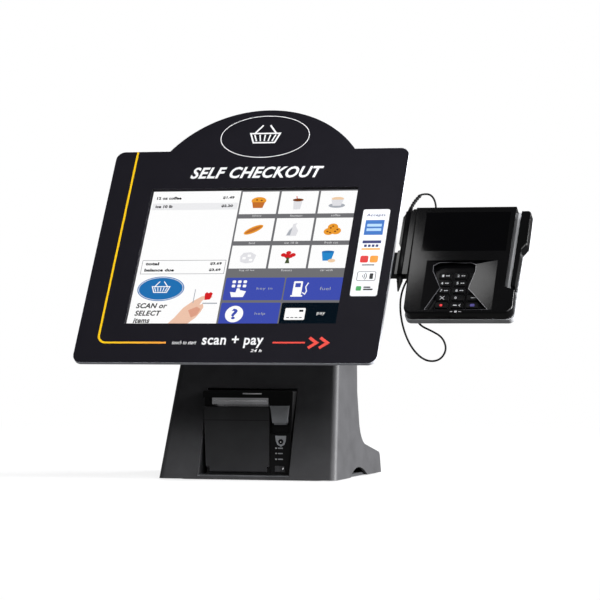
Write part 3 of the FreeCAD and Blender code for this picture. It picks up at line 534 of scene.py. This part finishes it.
def sign_graphics():
    """The board's print: stripe, emblem, header, footer, arrow and sticker."""
    art = Artwork("sign", HEAD, "head", "board_print", 0.06, 0.1, 0.1)
    window = rectangle(-WINDOW_HALF, -WINDOW_RISE, WINDOW_HALF, WINDOW_RISE)
    art.shape(0, "black", board_outline(), window)
    corner = arc(-174.3, -134.0, 12.0, 180, 270, 8)
    art.shape(1, "yellow", *band([(-186.6, 180.0)] + corner + [(-86.1, -146.0)], 3.0))
    art.shape(1, "white", *band(ellipse(1.0, 204.0, 66.0, 36.5, 72), 1.1, closed=True))
    for loop in pairs(basket(1.0, 207.0, 44.0)):
        art.shape(1, "white", *loop)
    art.words(1, "white", "SELF CHECKOUT", (-99.5, 131.2, 97.3, 151.0), 0.32, 0.028)
    art.words(1, "white", "touch to start", (-77.0, -148.6, -42.0, -142.6), 0.3, 0.01)
    art.words(1, "white", "scan + pay", (-34.0, -154.5, 54.0, -134.6), 0.0, 0.02)
    art.words(1, "white", "24 h", (38.0, -161.0, 54.0, -156.4), 0.2, 0.02)
    art.shape(1, "red", *band([(67.5, -145.6), (113.7, -145.6)], 2.6))
    for x in (119.0, 134.5):
        art.shape(1, "red", *band([(x, -137.5), (x + 11.0, -145.8), (x, -154.1)], 4.4))
    accepted_payments(art)
    art.build(BOARD_INKS)


def pairs(loops):
    """A basket's outlines in groups: the first two make a ring, the rest stand alone."""
    return [loops[:2]] + [[loop] for loop in loops[2:]]


def accepted_payments(art):
    """White sticker with plain pictograms for the kinds of payment taken."""
    left, right, low, high = 165.6, 204.2, -70.0, 74.9
    mid = (left + right) / 2
    art.shape(1, "sticker", rectangle(left, low, right, high, 3.2))
    art.words(2, "navy", "Accepts", (mid - 13.5, 61.5, mid + 13.5, 67.5), 0.1, 0.01)
    art.shape(2, "blue", rectangle(mid - 13.5, 31.6, mid + 13.5, 56.6))
    for k in range(2):
        art.shape(3, "pale", rectangle(mid - 10.5, 38.0 + k * 7.5, mid + 10.5, 42.6 + k * 7.5, 0.8))
    art.shape(2, "navy", rectangle(mid - 13.2, 17.6, mid + 13.2, 22.2))
    art.shape(2, "gold", rectangle(mid - 13.2, 6.6, mid + 13.2, 9.2))
    for k in range(4):
        x = mid - 10.2 + k * 5.5
        art.shape(2, "navy", rectangle(x, 11.4, x + 3.8, 15.4, 0.6))
    art.shape(2, "scarlet", rectangle(mid - 12.6, -14.6, mid - 1.2, -3.2, 2.4))
    art.shape(2, "orange", rectangle(mid + 1.2, -14.6, mid + 12.6, -3.2, 2.4))
    art.shape(2, "dark", rectangle(mid - 9.0, -19.4, mid + 9.0, -17.8, 0.6))
    art.shape(2, "dark", *band(rectangle(mid - 13.0, -44.6, mid + 13.0, -29.8, 2.2), 0.8, closed=True))
    for k in range(3):
        art.shape(2, "dark", *band(arc(mid - 7.0, -37.2, 2.0 + k * 2.6, -48, 48, 8), 0.9))
    art.shape(2, "dark", rectangle(mid + 4.6, -41.8, mid + 9.6, -32.6, 1.0))
    art.shape(2, "green", rectangle(mid - 12.0, -61.0, mid - 4.6, -53.6, 1.4))
    art.shape(2, "dark", rectangle(mid - 1.6, -60.2, mid + 12.0, -57.8, 0.8))
    art.shape(2, "dark", rectangle(mid - 1.6, -56.4, mid + 8.4, -54.4, 0.8))


# ---------------------------------------------------------------- screen
SCREEN_COLOURS = {
    "white": tone(255, 255, 255), "grey": tone(112, 112, 115), "shade": tone(238, 238, 240),
    "line": tone(120, 120, 126), "text": tone(20, 20, 26), "night": tone(4, 16, 26),
    "indigo": tone(63, 78, 175), "sky": tone(34, 112, 178), "caption": tone(222, 222, 224),
    "brown": tone(196, 112, 48), "bark": tone(120, 62, 30), "milk": tone(226, 226, 230),
    "cream": tone(240, 206, 170), "amber": tone(236, 156, 48), "red": tone(212, 34, 38),
    "leaf": tone(70, 84, 52), "water": tone(40, 136, 204), "skin": tone(238, 196, 172),
    "blush": tone(222, 160, 136), "steel": tone(170, 174, 182), "ink": tone(12, 12, 14),
}
SPLIT = -21.5                    # the receipt side of the screen ends here


def receipt_side(art):
    """Two bought goods, the totals and the prompt."""
    art.shape(1, "white", rectangle(-WINDOW_HALF, -WINDOW_RISE, SPLIT, WINDOW_RISE))
    art.words(2, "text", "12 oz coffee", (-146.0, 100.4, -109.0, 105.4), 0.0, 0.05)
    art.words(2, "text", "$1.49", (-47.0, 100.4, -30.0, 105.4), 0.0, 0.05)
    art.shape(2, "shade", rectangle(-150.0, 82.4, SPLIT - 1.5, 94.0))
    art.words(3, "text", "ice 10 lb", (-145.6, 86.0, -120.0, 91.0), 0.0, 0.05)
    art.words(3, "text", "$2.20", (-47.0, 86.0, -30.0, 91.0), 0.0, 0.05)
    art.shape(2, "line", *band(rectangle(-147.5, -27.0, -24.5, -4.2), 0.7, closed=True))
    left = -142.5
    for text, price, y in (("total", "$3.69", -12.4), ("balance due", "$3.69", -23.0)):
        art.words(2, "text", text, (left, y, left + 4.0 * len(text), y + 5.0), 0.0, 0.05)
        art.words(2, "text", price, (-47.0, y, -30.0, y + 5.0), 0.0, 0.05)
    prompt_corner(art)


def prompt_corner(art):
    """Blue oval badge, the prompt and a hand with a tag."""
    x, y = -112.5, -52.0
    art.shape(2, "sky", ellipse(x, y, 34.5, 20.5, 60))
    art.shape(3, "white", *band(ellipse(x, y, 32.6, 18.8, 60), 0.7, closed=True))
    for loop in pairs(basket(x, y + 2.0, 26.0)):
        art.shape(3, "white", *loop)
    for text, right, low in (("SCAN or", -98.0, -84.6), ("SELECT", -105.0, -97.0), ("items", -119.5, -109.2)):
        art.words(2, "ink", text, (-143.5, low, right, low + 8.6), 0.2, 0.03)
    arm = [(-96, -114.5), (-68, -114.5), (-53, -100), (-47.5, -91), (-44.5, -83), (-46, -77), (-51, -79),
           (-48, -72), (-40, -66.5), (-37, -68.5), (-34, -66), (-38, -61), (-50, -65), (-62, -73), (-74, -84),
           (-84, -100)]
    art.shape(2, "skin", arm)
    art.shape(3, "blush", [(-66, -88), (-54, -82), (-48, -86), (-52, -96), (-60, -100)])
    art.shape(3, "steel", rectangle(-61.6, -76.0, -60.4, -53.0))
    art.shape(3, "steel", rectangle(-47.0, -77.4, -25.6, -75.4))
    art.shape(3, "red", [(-45.0, -71.0), (-37.0, -70.0), (-34.5, -60.0), (-38.0, -57.6), (-40.4, -59.6),
                         (-43.6, -57.8), (-46.0, -60.6)])


def muffin(art, x, y):
    art.shape(3, "brown", [(x - 7, y - 9), (x + 7, y - 9), (x + 9.5, y + 1), (x - 9.5, y + 1)])
    art.shape(2, "amber", ellipse(x, y + 3.5, 11, 6.5, 24))
    art.shape(3, "bark", ellipse(x - 3, y + 5, 1.6, 1.1, 12))
    art.shape(3, "bark", ellipse(x + 4, y + 4, 1.6, 1.1, 12))


def cup(art, x, y):
    art.shape(2, "milk", [(x - 5, y - 12), (x + 5, y - 12), (x + 6.6, y + 3), (x - 6.6, y + 3)])
    art.shape(3, "bark", ellipse(x, y + 4.2, 8, 2.6, 24))
    art.shape(2, "red", *band([(x - 3, y + 11), (x - 1.5, y + 5)], 1.3))


def saucer(art, x, y):
    art.shape(2, "steel", ellipse(x, y - 6.0, 12, 4.0, 28))
    art.shape(3, "milk", [(x - 6, y - 6.5), (x + 6, y - 6.5), (x + 9, y + 4), (x - 9, y + 4)])
    art.shape(2, "cream", ellipse(x, y + 5.5, 9, 3.2, 24))


def hot_dog(art, x, y):
    lean = math.radians(28)
    for layer, colour, wide, high in ((2, "amber", 15.0, 5.2), (3, "brown", 13.0, 2.6)):
        ring = ellipse(0, 0, wide, high, 28)
        art.shape(layer, colour, [(x + a * math.cos(lean) - b * math.sin(lean),
                                   y + a * math.sin(lean) + b * math.cos(lean)) for a, b in ring])


def sack(art, x, y):
    art.shape(2, "milk", [(x - 9, y - 11), (x + 6, y - 11), (x + 8, y - 2), (x + 3, y + 6), (x + 5, y + 11),
                          (x - 1, y + 9), (x - 1, y + 5), (x - 6, y - 1)])
    art.shape(3, "steel", [(x - 8, y - 10), (x - 3, y - 10), (x - 1, y + 3), (x - 5, y - 2)])


def cookies(art, x, y):
    for dx, dy in ((-5, -4), (5, -3), (0, 3.5)):
        art.shape(2, "amber", ellipse(x + dx, y + dy, 7.5, 6.0, 24))
    for dx, dy in ((-7, -4), (-3, -6), (4, -4), (7, -1), (0, 5), (-3, 2)):
        art.shape(3, "bark", ellipse(x + dx, y + dy, 1.5, 1.2, 10))


def ice(art, x, y):
    art.shape(2, "milk", [(x - 11, y - 8), (x - 3, y - 11), (x + 8, y - 9), (x + 11, y + 3), (x + 3, y + 8),
                          (x - 8, y + 7), (x - 12, y + 1)])
    for dx, dy in ((-6, -2), (1, 2), (4, -5)):
        art.shape(3, "white", rectangle(x + dx - 2.4, y + dy - 2, x + dx + 2.4, y + dy + 2, 0.6))


def flowers(art, x, y):
    art.shape(2, "leaf", [(x - 3.5, y - 11), (x + 3.5, y - 11), (x + 1.6, y - 4), (x + 6, y + 1),
                          (x - 6, y + 1), (x - 1.6, y - 4)])
    for dx, dy in ((-7, 3), (0, 6.5), (7, 3), (-2.5, 1.5), (3.5, 1)):
        art.shape(3, "red", ellipse(x + dx, y + dy, 3.8, 3.2, 16))


def bucket(art, x, y):
    art.shape(2, "water", [(x - 7, y - 7), (x + 5, y - 7), (x + 8, y + 8), (x - 10, y + 8)])
    art.shape(3, "sky", ellipse(x - 1, y + 8, 9, 2.0, 20))
    art.shape(3, "cream", ellipse(x + 6, y - 7, 5.5, 3.0, 16))


GOODS = [("bakery", muffin), ("fountain", cup), ("coffee", saucer), ("food", hot_dog), ("ice 10 lb", sack),
         ("fresh cut", cookies), ("bag of ice", ice), ("flowers", flowers), ("car wash", bucket)]


def goods_side(art):
    """Three rows of goods over four big buttons."""
    art.shape(1, "grey", rectangle(SPLIT, -WINDOW_RISE, WINDOW_HALF, WINDOW_RISE))
    tile_wide, tile_high, pitch_x, pitch_y = 54.6, 38.6, 57.8, 46.2
    for k, (name, icon) in enumerate(GOODS):
        left = SPLIT + 2.6 + (k % 3) * pitch_x
        high = 112.6 - (k // 3) * pitch_y
        art.shape(2, "white", rectangle(left, high - tile_high, left + tile_wide, high))
        icon(Layered(art), left + tile_wide * 0.48, high - tile_high * 0.5)
        wide = 2.2 * len(name)
        mid = left + tile_wide / 2
        art.words(2, "caption", name, (mid - wide / 2, high - 43.6, mid + wide / 2, high - 40.0))
    buttons(art)


class Layered:
    """The same artwork with every layer moved up by one, for what lies on a white tile."""

    def __init__(self, art):
        self.art = art

    def shape(self, layer, colour, *loops):
        self.art.shape(layer + 1, colour, *loops)


def buttons(art):
    wide, high = 85.5, 37.5
    for k, (colour, text) in enumerate((("indigo", "key in"), ("indigo", "fuel"), ("indigo", "help"),
                                        ("night", "pay"))):
        left = SPLIT + 2.6 + (k % 2) * 87.4
        low = -71.4 - (k // 2) * 41.6
        art.shape(2, colour, rectangle(left, low, left + wide, low + high, 2.0))
        ink = "white" if text == "pay" else "steel"
        middle = left + wide * 0.68
        art.words(3, ink, text, (middle - 1.9 * len(text), low + 16.4, middle + 1.9 * len(text), low + 21.6))
        BUTTON_SIGNS[k](art, left + 21.0, low + high / 2)


def keypad_sign(art, x, y):
    for column in range(3):
        for row in range(2):
            left, low = x - 11.0 + column * 8.0, y + 2.6 + row * 7.0
            art.shape(3, "white", rectangle(left, low, left + 5.0, low + 4.6, 1.2))
    art.shape(3, "white", [(x - 9, y - 13.5), (x + 8, y - 13.5), (x + 11, y - 4), (x + 2, y - 2),
                           (x + 1, y + 1), (x - 3, y + 1), (x - 4, y - 6), (x - 12, y - 5)])


def pump_sign(art, x, y):
    art.shape(3, "white", rectangle(x - 11.0, y - 13.0, x + 6.0, y - 10.4))
    art.shape(3, "white", rectangle(x - 9.0, y - 10.4, x + 4.0, y + 12.5, 1.5))
    art.shape(4, "indigo", rectangle(x - 6.4, y + 2.6, x + 1.4, y + 9.4, 0.6))
    art.shape(3, "white", *band([(x + 5, y - 6), (x + 9, y - 9), (x + 11, y - 4), (x + 9, y + 3),
                                 (x + 12, y + 10)], 1.6))


def question_sign(art, x, y):
    art.shape(3, "white", ellipse(x, y, 13.0, 13.6, 44))
    art.words(4, "indigo", "?", (x - 4.4, y - 8.6, x + 4.4, y + 8.8), 0.0, 0.03)


def card_sign(art, x, y):
    art.shape(3, "white", rectangle(x - 14.5, y - 9.6, x + 14.5, y + 9.8, 1.6))
    art.shape(4, "night", rectangle(x + 5.5, y + 3.6, x + 11.5, y + 6.8, 0.8))
    for k in range(4):
        left = x - 11.4 + k * 6.0
        art.shape(4, "night", rectangle(left, y - 6.4, left + 4.2, y - 5.2))


BUTTON_SIGNS = [keypad_sign, pump_sign, question_sign, card_sign]


def screen_graphics():
    """The screen's picture, in the gap between the glass and the panel."""
    lcd_front, layer_step, layer_thick = -7.79, 0.035, 0.012
    art = Artwork("screen", HEAD, "head", "lcd", lcd_front, layer_step, layer_thick)
    receipt_side(art)
    goods_side(art)
    art.build({name: glow("screen_" + name, colour) for name, colour in SCREEN_COLOURS.items()})


# ---------------------------------------------------------------- printer
def printer_trim():
    """Marks on the control strip, the seam in the cover and the dot on the power switch."""
    face = -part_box("control_panel")[0].y / MM
    art = Artwork("printer", FRONT, "printer", "printer_grey", face + 0.05, 0.08, 0.1)
    x, z = 44.0, 54.0
    shield = [(x - 8, z + 8.4), (x + 8, z + 8.4), (x + 7.4, z + 1), (x + 5.0, z - 4.4), (x, z - 7.0),
              (x - 5.0, z - 4.4), (x - 7.4, z + 1)]
    art.shape(0, "mark", shield, ellipse(x, z, 3.8, 3.8, 28))
    for row in (44.9, 37.5, 29.3):
        art.shape(0, "mark", rectangle(39.6, row - 0.8, 47.0, row + 0.8, 0.5))
        art.shape(0, "lamp", ellipse(37.0, row, 1.1, 1.1, 16))
    art.build({"mark": print_ink("printer_mark", tone(150, 152, 156)),
               "lamp": print_ink("printer_lamp", tone(196, 198, 200))})
    seam = solid_from(rectangle(-70.6, 83.5, 26.6, 84.3), FRONT, face + 0.35, face + 0.55)
    add_piece("cover_seam", seam, RUBBER, "cover")
    dot_face = -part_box("power_switch")[0].y / MM
    dot = solid_from(ellipse(47.2, 16.0, 1.2, 1.2, 20), FRONT, dot_face - 0.5, dot_face + 0.15, 0.1)
    add_piece("switch_dot", dot, WHITE_PLASTIC, "switch")


def paper_exit():
    """Painted highlights: a white strip over the paper's way out and a white band along the tear bar, where
    light catches them; and the teeth of the tear bar.
    """
    case_front = -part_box("printer_case")[0].y / MM
    # painted highlight: a white strip on the case's top ridge where the light catches it, not paper
    slot = rectangle(-12.0, 120.6, 16.0, 122.2, 0.7)
    ridge_highlight = solid_from(slot, FRONT, case_front - 0.6, case_front + 0.25, 0.2)
    add_piece("painted_highlight_strip", ridge_highlight, PAINTED_HIGHLIGHT_WHITE, "printer", True)
    low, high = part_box("tear_bar")
    left, right, top, face = low.x / MM, high.x / MM, high.z / MM, -low.y / MM
    # painted highlight: a white band along the tear bar where the light catches its edge
    strip = rectangle(left + 1.5, top - 5.2, right - 1.5, top - 3.4, 0.5)
    bar_highlight = solid_from(strip, FRONT, face - 0.3, face + 0.5, 0.2)
    add_piece("tear_painted_highlight", bar_highlight, PAINTED_HIGHLIGHT_WHITE, "printer", True)
    count, margin, root, tip = 30, 2.0, top - 3.6, top - 2.2
    step = (right - left - 2 * margin) / count
    teeth = []
    for k in range(count):
        start = left + margin + k * step
        teeth += [(start, root), (start + step / 2, tip)]
    teeth.append((right - margin, root))
    edge = solid_from(teeth[::-1], FRONT, face - 0.2, face + 0.3)
    add_piece("tear_teeth", edge, BRIGHT_STEEL, "printer")


def feed_button():
    """Button with a rounded edge, a shallow dish and a pale dot."""
    low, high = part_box("feed_button")
    middle = (low + high) / 2
    depth = (high.y - low.y) / MM
    profile = [(0, -depth), (3.2, -depth), (3.2, -0.6), (2.7, 0.0), (1.6, -0.3), (0, -0.45)]
    mesh = turned(profile, 28)
    mesh.transform(plane((middle.x, low.y, middle.z), (1, 0, 0), (0, 0, 1)))
    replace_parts(add_piece("feed_cap", mesh, PRINTER_BLACK, "feed", True), "feed_button")
    dot = flat_mesh([ellipse(middle.x / MM, middle.z / MM - 0.4, 1.0, 0.8, 16)], 0.1)
    dot.transform(Matrix.Translation((0, low.y - 0.0001, 0)) @ FRONT)
    add_piece("feed_dot", dot, WHITE_PLASTIC, "feed")


# ---------------------------------------------------------------- payment terminal
KEY_NAMES = ["1", "2", "3", "4", "5", "6", "7", "8", "9", "clear", "0", "dash", "cancel", "correct", "enter"]
KEY_MID, KEY_PITCH, KEY_TOP, KEY_STEP = -4.0, 21.5, -21.3, 11.9
KEY_WIDE, KEY_HIGH, KEY_BASE, KEY_FACE = 17.5, 8.8, 8.0, 11.6
TERMINAL_FACE = 20.0             # the terminal's front, ahead of the board's plane


def key_marks(art, name, x, y):
    """Digits with two small bars for their letters, and plain signs on the other keys."""
    if name.isdigit():
        art.words(0, "white", name, (x - 4.2, y - 1.9, x - 1.4, y + 1.9), 0.0, 0.02)
        if name != "0":
            art.shape(0, "white", rectangle(x + 1.4, y - 0.7, x + 3.4, y + 0.6, 0.3))
            art.shape(0, "white", rectangle(x + 4.0, y - 0.7, x + 6.4, y + 0.6, 0.3))
    if name == "clear":
        for turn in (-1, 1):
            art.shape(0, "white", *band([(x - 3, y - 2.8 * turn), (x + 3, y + 2.8 * turn)], 0.9))
    if name == "dash":
        art.shape(0, "white", rectangle(x - 3.2, y - 0.5, x + 4.4, y + 0.5, 0.4))
    if name == "cancel":
        art.shape(0, "red", ellipse(x, y, 2.2, 2.0, 16))
    if name == "correct":
        art.shape(0, "white", rectangle(x - 5.0, y - 0.7, x + 0.4, y + 0.7, 0.3))
        art.shape(0, "white", *band([(x + 5.4, y - 2.0), (x + 3.0, y), (x + 5.4, y + 2.0)], 0.9))
    if name == "enter":
        art.shape(0, "blue", rectangle(x - 2.6, y - 2.2, x + 3.2, y + 2.2, 0.8))


def keypad():
    """Rounded caps in place of the fifteen keys, each with its label."""
    inks = {"white": print_ink("key_white", tone(176, 178, 182)),
            "red": print_ink("key_red", tone(220, 40, 44)),
            "blue": print_ink("key_blue", tone(66, 58, 128))}
    for k, name in enumerate(KEY_NAMES):
        x = KEY_MID + (k % 3 - 1) * KEY_PITCH
        y = KEY_TOP - (k // 3) * KEY_STEP
        loop = rectangle(x - KEY_WIDE / 2, y - KEY_HIGH / 2, x + KEY_WIDE / 2, y + KEY_HIGH / 2, 1.4, 4)
        cap = solid_from(loop, TERMINAL, KEY_BASE, KEY_FACE, 0.5, 3)
        piece = add_piece("cap_" + name, cap, KEY_BLACK, "key_" + name, True)
        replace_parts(piece, "key_" + name)
        art = Artwork("label_" + name, TERMINAL, "key_" + name, "key_black", KEY_FACE + 0.04, 0.05, 0.06)
        key_marks(art, name, x, y)
        art.build(inks)


def wing_height(x):
    """How far the sloping floor of the keypad's recess stands out, at a distance across."""
    middle, low = -2.0, 12.8
    across = 48.8 if x > middle else 49.8
    return low + abs(x - middle) * (TERMINAL_FACE - low) / across


def window_rim_highlight():
    """Painted highlight: a thin grey line round the keypad's waisted window, where its edge catches the
    light.
    """
    outline = [(-42, -9), (-34, -3.5), (-20, -1.6), (-2, -1.6), (8, -1.6), (16.5, -6), (17, -16), (10, -43.8),
               (41.5, -81), (-2, -81), (-46, -81), (-29, -43.8), (-41.5, -18)]
    rim = flat_mesh(band(outline, 0.8, closed=True), 0.3)
    for vertex in rim.vertices:
        vertex.co.z += wing_height(vertex.co.x)
    rim.transform(TERMINAL)
    add_piece("keypad_rim", rim, PAINTED_RIM_HIGHLIGHT, "terminal")


def terminal_trim():
    """Three small marks over the card slot."""
    art = Artwork("terminal", TERMINAL, "terminal", "terminal_grey", TERMINAL_FACE + 0.03, 0.05, 0.06)
    slot_x, slot_y = -2.0, -84.6
    art.shape(0, "mark", rectangle(slot_x - 1.8, slot_y - 1.4, slot_x + 1.8, slot_y + 1.4, 0.5))
    for turn in (-1, 1):
        art.shape(0, "mark", rectangle(slot_x + turn * 6.0 - 1.8, slot_y - 0.5, slot_x + turn * 6.0 + 1.8,
                                       slot_y + 0.5, 0.3))
    art.build({"mark": print_ink("terminal_mark", tone(170, 170, 174))})


# ---------------------------------------------------------------- stylus and its cord
STYLUS_X, STYLUS_TIP, STYLUS_OUT, STYLUS_RADIUS = -89.5, -44.0, 8.0, 4.2


def holder_trim():
    """Half-round channel wall down the holder's front, and the shoulder beside its top."""
    path = [Vector((STYLUS_X, height, 12.6)) for height in (-20.0, 10.0, 40.0, 83.0)]
    rib = swept(path, [4.4] * len(path), 24)
    rib.transform(TERMINAL)
    add_piece("holder_rib", rib, KEY_BLACK, "terminal", True)
    wedge = [(-79.4, 70), (-79.4, 88), (-83, 88), (-84.6, 84), (-84.6, 70)]
    shoulder = solid_from(wedge, TERMINAL, 4.0, 14.8, 0.4)
    add_piece("holder_shoulder", shoulder, TERMINAL_BLACK, "terminal")


def stylus_body():
    """Turned stylus: point, taper, grip rings and a barrel that ends in the cord's sleeve."""
    radius, groove, length = STYLUS_RADIUS, STYLUS_RADIUS - 0.35, 138.2
    profile = [(0, 0), (0.8, 0.2), (1.2, 1.5), (radius - 0.5, 15.0), (radius, 16.5)]
    for k in range(6):
        start = 24.0 + k * 3.0
        profile += [(radius, start), (groove, start + 0.5), (groove, start + 1.3), (radius, start + 1.8)]
    profile += [(radius, 130.0), (radius - 1.0, 135.0), (2.6, length), (0, length)]
    mesh = turned(profile)
    upright = Matrix.Rotation(math.radians(-90), 4, "X")
    mesh.transform(TERMINAL @ Matrix.Translation((STYLUS_X, STYLUS_TIP, STYLUS_OUT)) @ upright)
    piece = add_piece("stylus_turned", mesh, KEY_BLACK, "stylus", True)
    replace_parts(piece, "stylus")


RELIEF_ROUTE = [(0.2356, -0.1148, 0.381), (0.2385, -0.1075, 0.391), (0.2456, -0.0995, 0.3995)]
TETHER_ROUTE = [
    (0.246, -0.099, 0.4), (0.2545, -0.094, 0.4025), (0.2635, -0.0925, 0.3955), (0.268, -0.097, 0.378),
    (0.264, -0.11, 0.352), (0.254, -0.129, 0.318), (0.2435, -0.149, 0.29), (0.235, -0.168, 0.266),
    (0.2355, -0.181, 0.24), (0.243, -0.188, 0.21), (0.256, -0.191, 0.185), (0.274, -0.192, 0.1695),
    (0.294, -0.1925, 0.17), (0.3045, -0.1925, 0.185), (0.2985, -0.1915, 0.202), (0.282, -0.1895, 0.211),
    (0.266, -0.1855, 0.2175), (0.257, -0.178, 0.229), (0.2565, -0.1665, 0.24),
]
TETHER_RADIUS = 0.00135


def smooth_line(route):
    """Points along the NURBS spline whose control points are the route."""
    curve = bpy.data.curves.new("route", "CURVE")
    curve.dimensions = "3D"
    curve.resolution_u = 12
    spline = curve.splines.new("NURBS")
    spline.points.add(len(route) - 1)
    for point, place in zip(spline.points, route):
        point.co = (*place, 1)
    spline.order_u = 3
    spline.use_endpoint_u = True
    mesh = mesh_from(curve)
    points = [vertex.co.copy() for vertex in mesh.vertices]
    bpy.data.meshes.remove(mesh)
    return points


def stylus_cord():
    """The tether from the stylus's sleeve to the terminal."""
    line = smooth_line(TETHER_ROUTE)
    mesh = swept(line, [TETHER_RADIUS] * len(line), 12)
    cord = bpy.data.objects.new("stylus_cord", mesh)
    bpy.context.scene.collection.objects.link(cord)
    mesh.materials.append(CORD_BLACK)
    for polygon in mesh.polygons:
        polygon.use_smooth = True
    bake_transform(cord)
    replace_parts(cord, "stylus_tether")


def strain_relief():
    """Ribbed sleeve between the stylus's end and the cord."""
    line = smooth_line(RELIEF_ROUTE)
    rib, groove = 0.0026, 0.002
    radii = [groove if k % 4 > 1 else rib for k in range(len(line))]
    piece = add_piece("relief_sleeve", swept(line, radii, 20), CORD_BLACK, "stylus")
    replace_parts(piece, "strain_relief")


# ---------------------------------------------------------------- studio
BACKDROP_LIGHT = 1.0


def floor_material():
    """Pale floor that turns into the white backdrop with distance from the object."""
    material = surface("studio_floor", tone(240, 240, 242), 0.6, drift=0.01, depth=0.0, gloss=0.2)
    tree = material.node_tree
    place = tree.nodes.new("ShaderNodeTexCoord")
    length = tree.nodes.new("ShaderNodeVectorMath")
    length.operation = "LENGTH"
    tree.links.new(place.outputs["Object"], length.inputs[0])
    fade = tree.nodes.new("ShaderNodeMapRange")
    fade.interpolation_type = "SMOOTHERSTEP"
    fade.inputs["From Min"].default_value = 0.25
    fade.inputs["From Max"].default_value = 2.2
    fade.inputs["To Min"].default_value = 0.72
    tree.links.new(length.outputs["Value"], fade.inputs["Value"])
    light = tree.nodes.new("ShaderNodeEmission")
    light.inputs["Strength"].default_value = BACKDROP_LIGHT
    mix = tree.nodes.new("ShaderNodeMixShader")
    tree.links.new(fade.outputs["Result"], mix.inputs["Fac"])
    tree.links.new(tree.nodes["Principled BSDF"].outputs["BSDF"], mix.inputs[1])
    tree.links.new(light.outputs["Emission"], mix.inputs[2])
    tree.links.new(mix.outputs["Shader"], tree.nodes["Material Output"].inputs["Surface"])
    return material


def studio():
    """Pale floor that fades into a white backdrop, soft lights, and a view that keeps true colours."""
    floor_mesh = bpy.data.meshes.new("studio_floor")
    half = 40.0                  # metres
    corners = [(-half, -half, 0), (half, -half, 0), (half, half, 0), (-half, half, 0)]
    floor_mesh.from_pydata(corners, [], [(0, 1, 2, 3)])
    floor = bpy.data.objects.new("studio_floor", floor_mesh)
    bpy.context.scene.collection.objects.link(floor)
    floor_mesh.materials.append(floor_material())
    floor.visible_diffuse = False
    floor.visible_glossy = False
    world = bpy.data.worlds.new("studio")
    world.use_nodes = True
    bpy.context.scene.world = world
    tree = world.node_tree
    soft = tree.nodes["Background"]
    soft.inputs["Color"].default_value = (1, 1, 1, 1)
    soft.inputs["Strength"].default_value = 0.15
    backdrop = tree.nodes.new("ShaderNodeBackground")
    backdrop.inputs["Color"].default_value = (1, 1, 1, 1)
    backdrop.inputs["Strength"].default_value = BACKDROP_LIGHT
    seen = tree.nodes.new("ShaderNodeLightPath")
    pick = tree.nodes.new("ShaderNodeMixShader")
    tree.links.new(seen.outputs["Is Camera Ray"], pick.inputs["Fac"])
    tree.links.new(soft.outputs["Background"], pick.inputs[1])
    tree.links.new(backdrop.outputs["Background"], pick.inputs[2])
    tree.links.new(pick.outputs["Shader"], tree.nodes["World Output"].inputs["Surface"])
    area_light("key", (1.3, -2.05, 1.8), (0.05, -0.1, 0.3), 1.4, 80)
    area_light("side", (2.6, 0.35, 0.75), (0.1, 0.05, 0.15), 1.2, 250)
    area_light("keypad_light", (0.13, -0.315, 0.634), (0.35, -0.2, 0.27), 0.1, 0.22)
    area_light("rim", (-0.8, 2.2, 1.5), (0.0, 0.0, 0.3), 1.4, 40)
    bpy.context.scene.view_settings.view_transform = "Standard"


def area_light(name, place, aim, size, power):
    """A square light in metres and watts, turned to face a point."""
    light = bpy.data.lights.new(name, "AREA")
    light.size = size
    light.energy = power
    lamp = bpy.data.objects.new(name, light)
    lamp.location = place
    lamp.rotation_euler = (Vector(aim) - Vector(place)).to_track_quat("-Z", "Y").to_euler()
    bpy.context.scene.collection.objects.link(lamp)


def camera():
    """A long lens, level with the top of the pedestal and a little to the right."""
    data = bpy.data.cameras.new("camera")
    data.sensor_width = 36.0
    data.lens = 180.0
    data.clip_end = 100.0
    holder = bpy.data.objects.new("camera", data)
    holder.location = (1.2215, -4.1659, 0.2256)
    holder.rotation_euler = [math.radians(angle) for angle in (90.382, 0.0, 15.8)]
    bpy.context.scene.collection.objects.link(holder)
    bpy.context.scene.camera = holder


paint_frame()
sign_graphics()
window_edge_shade()
screen_graphics()
printer_trim()
paper_exit()
feed_button()
keypad()
terminal_trim()
window_rim_highlight()
holder_trim()
stylus_body()
stylus_cord()
strain_relief()
studio()
camera()
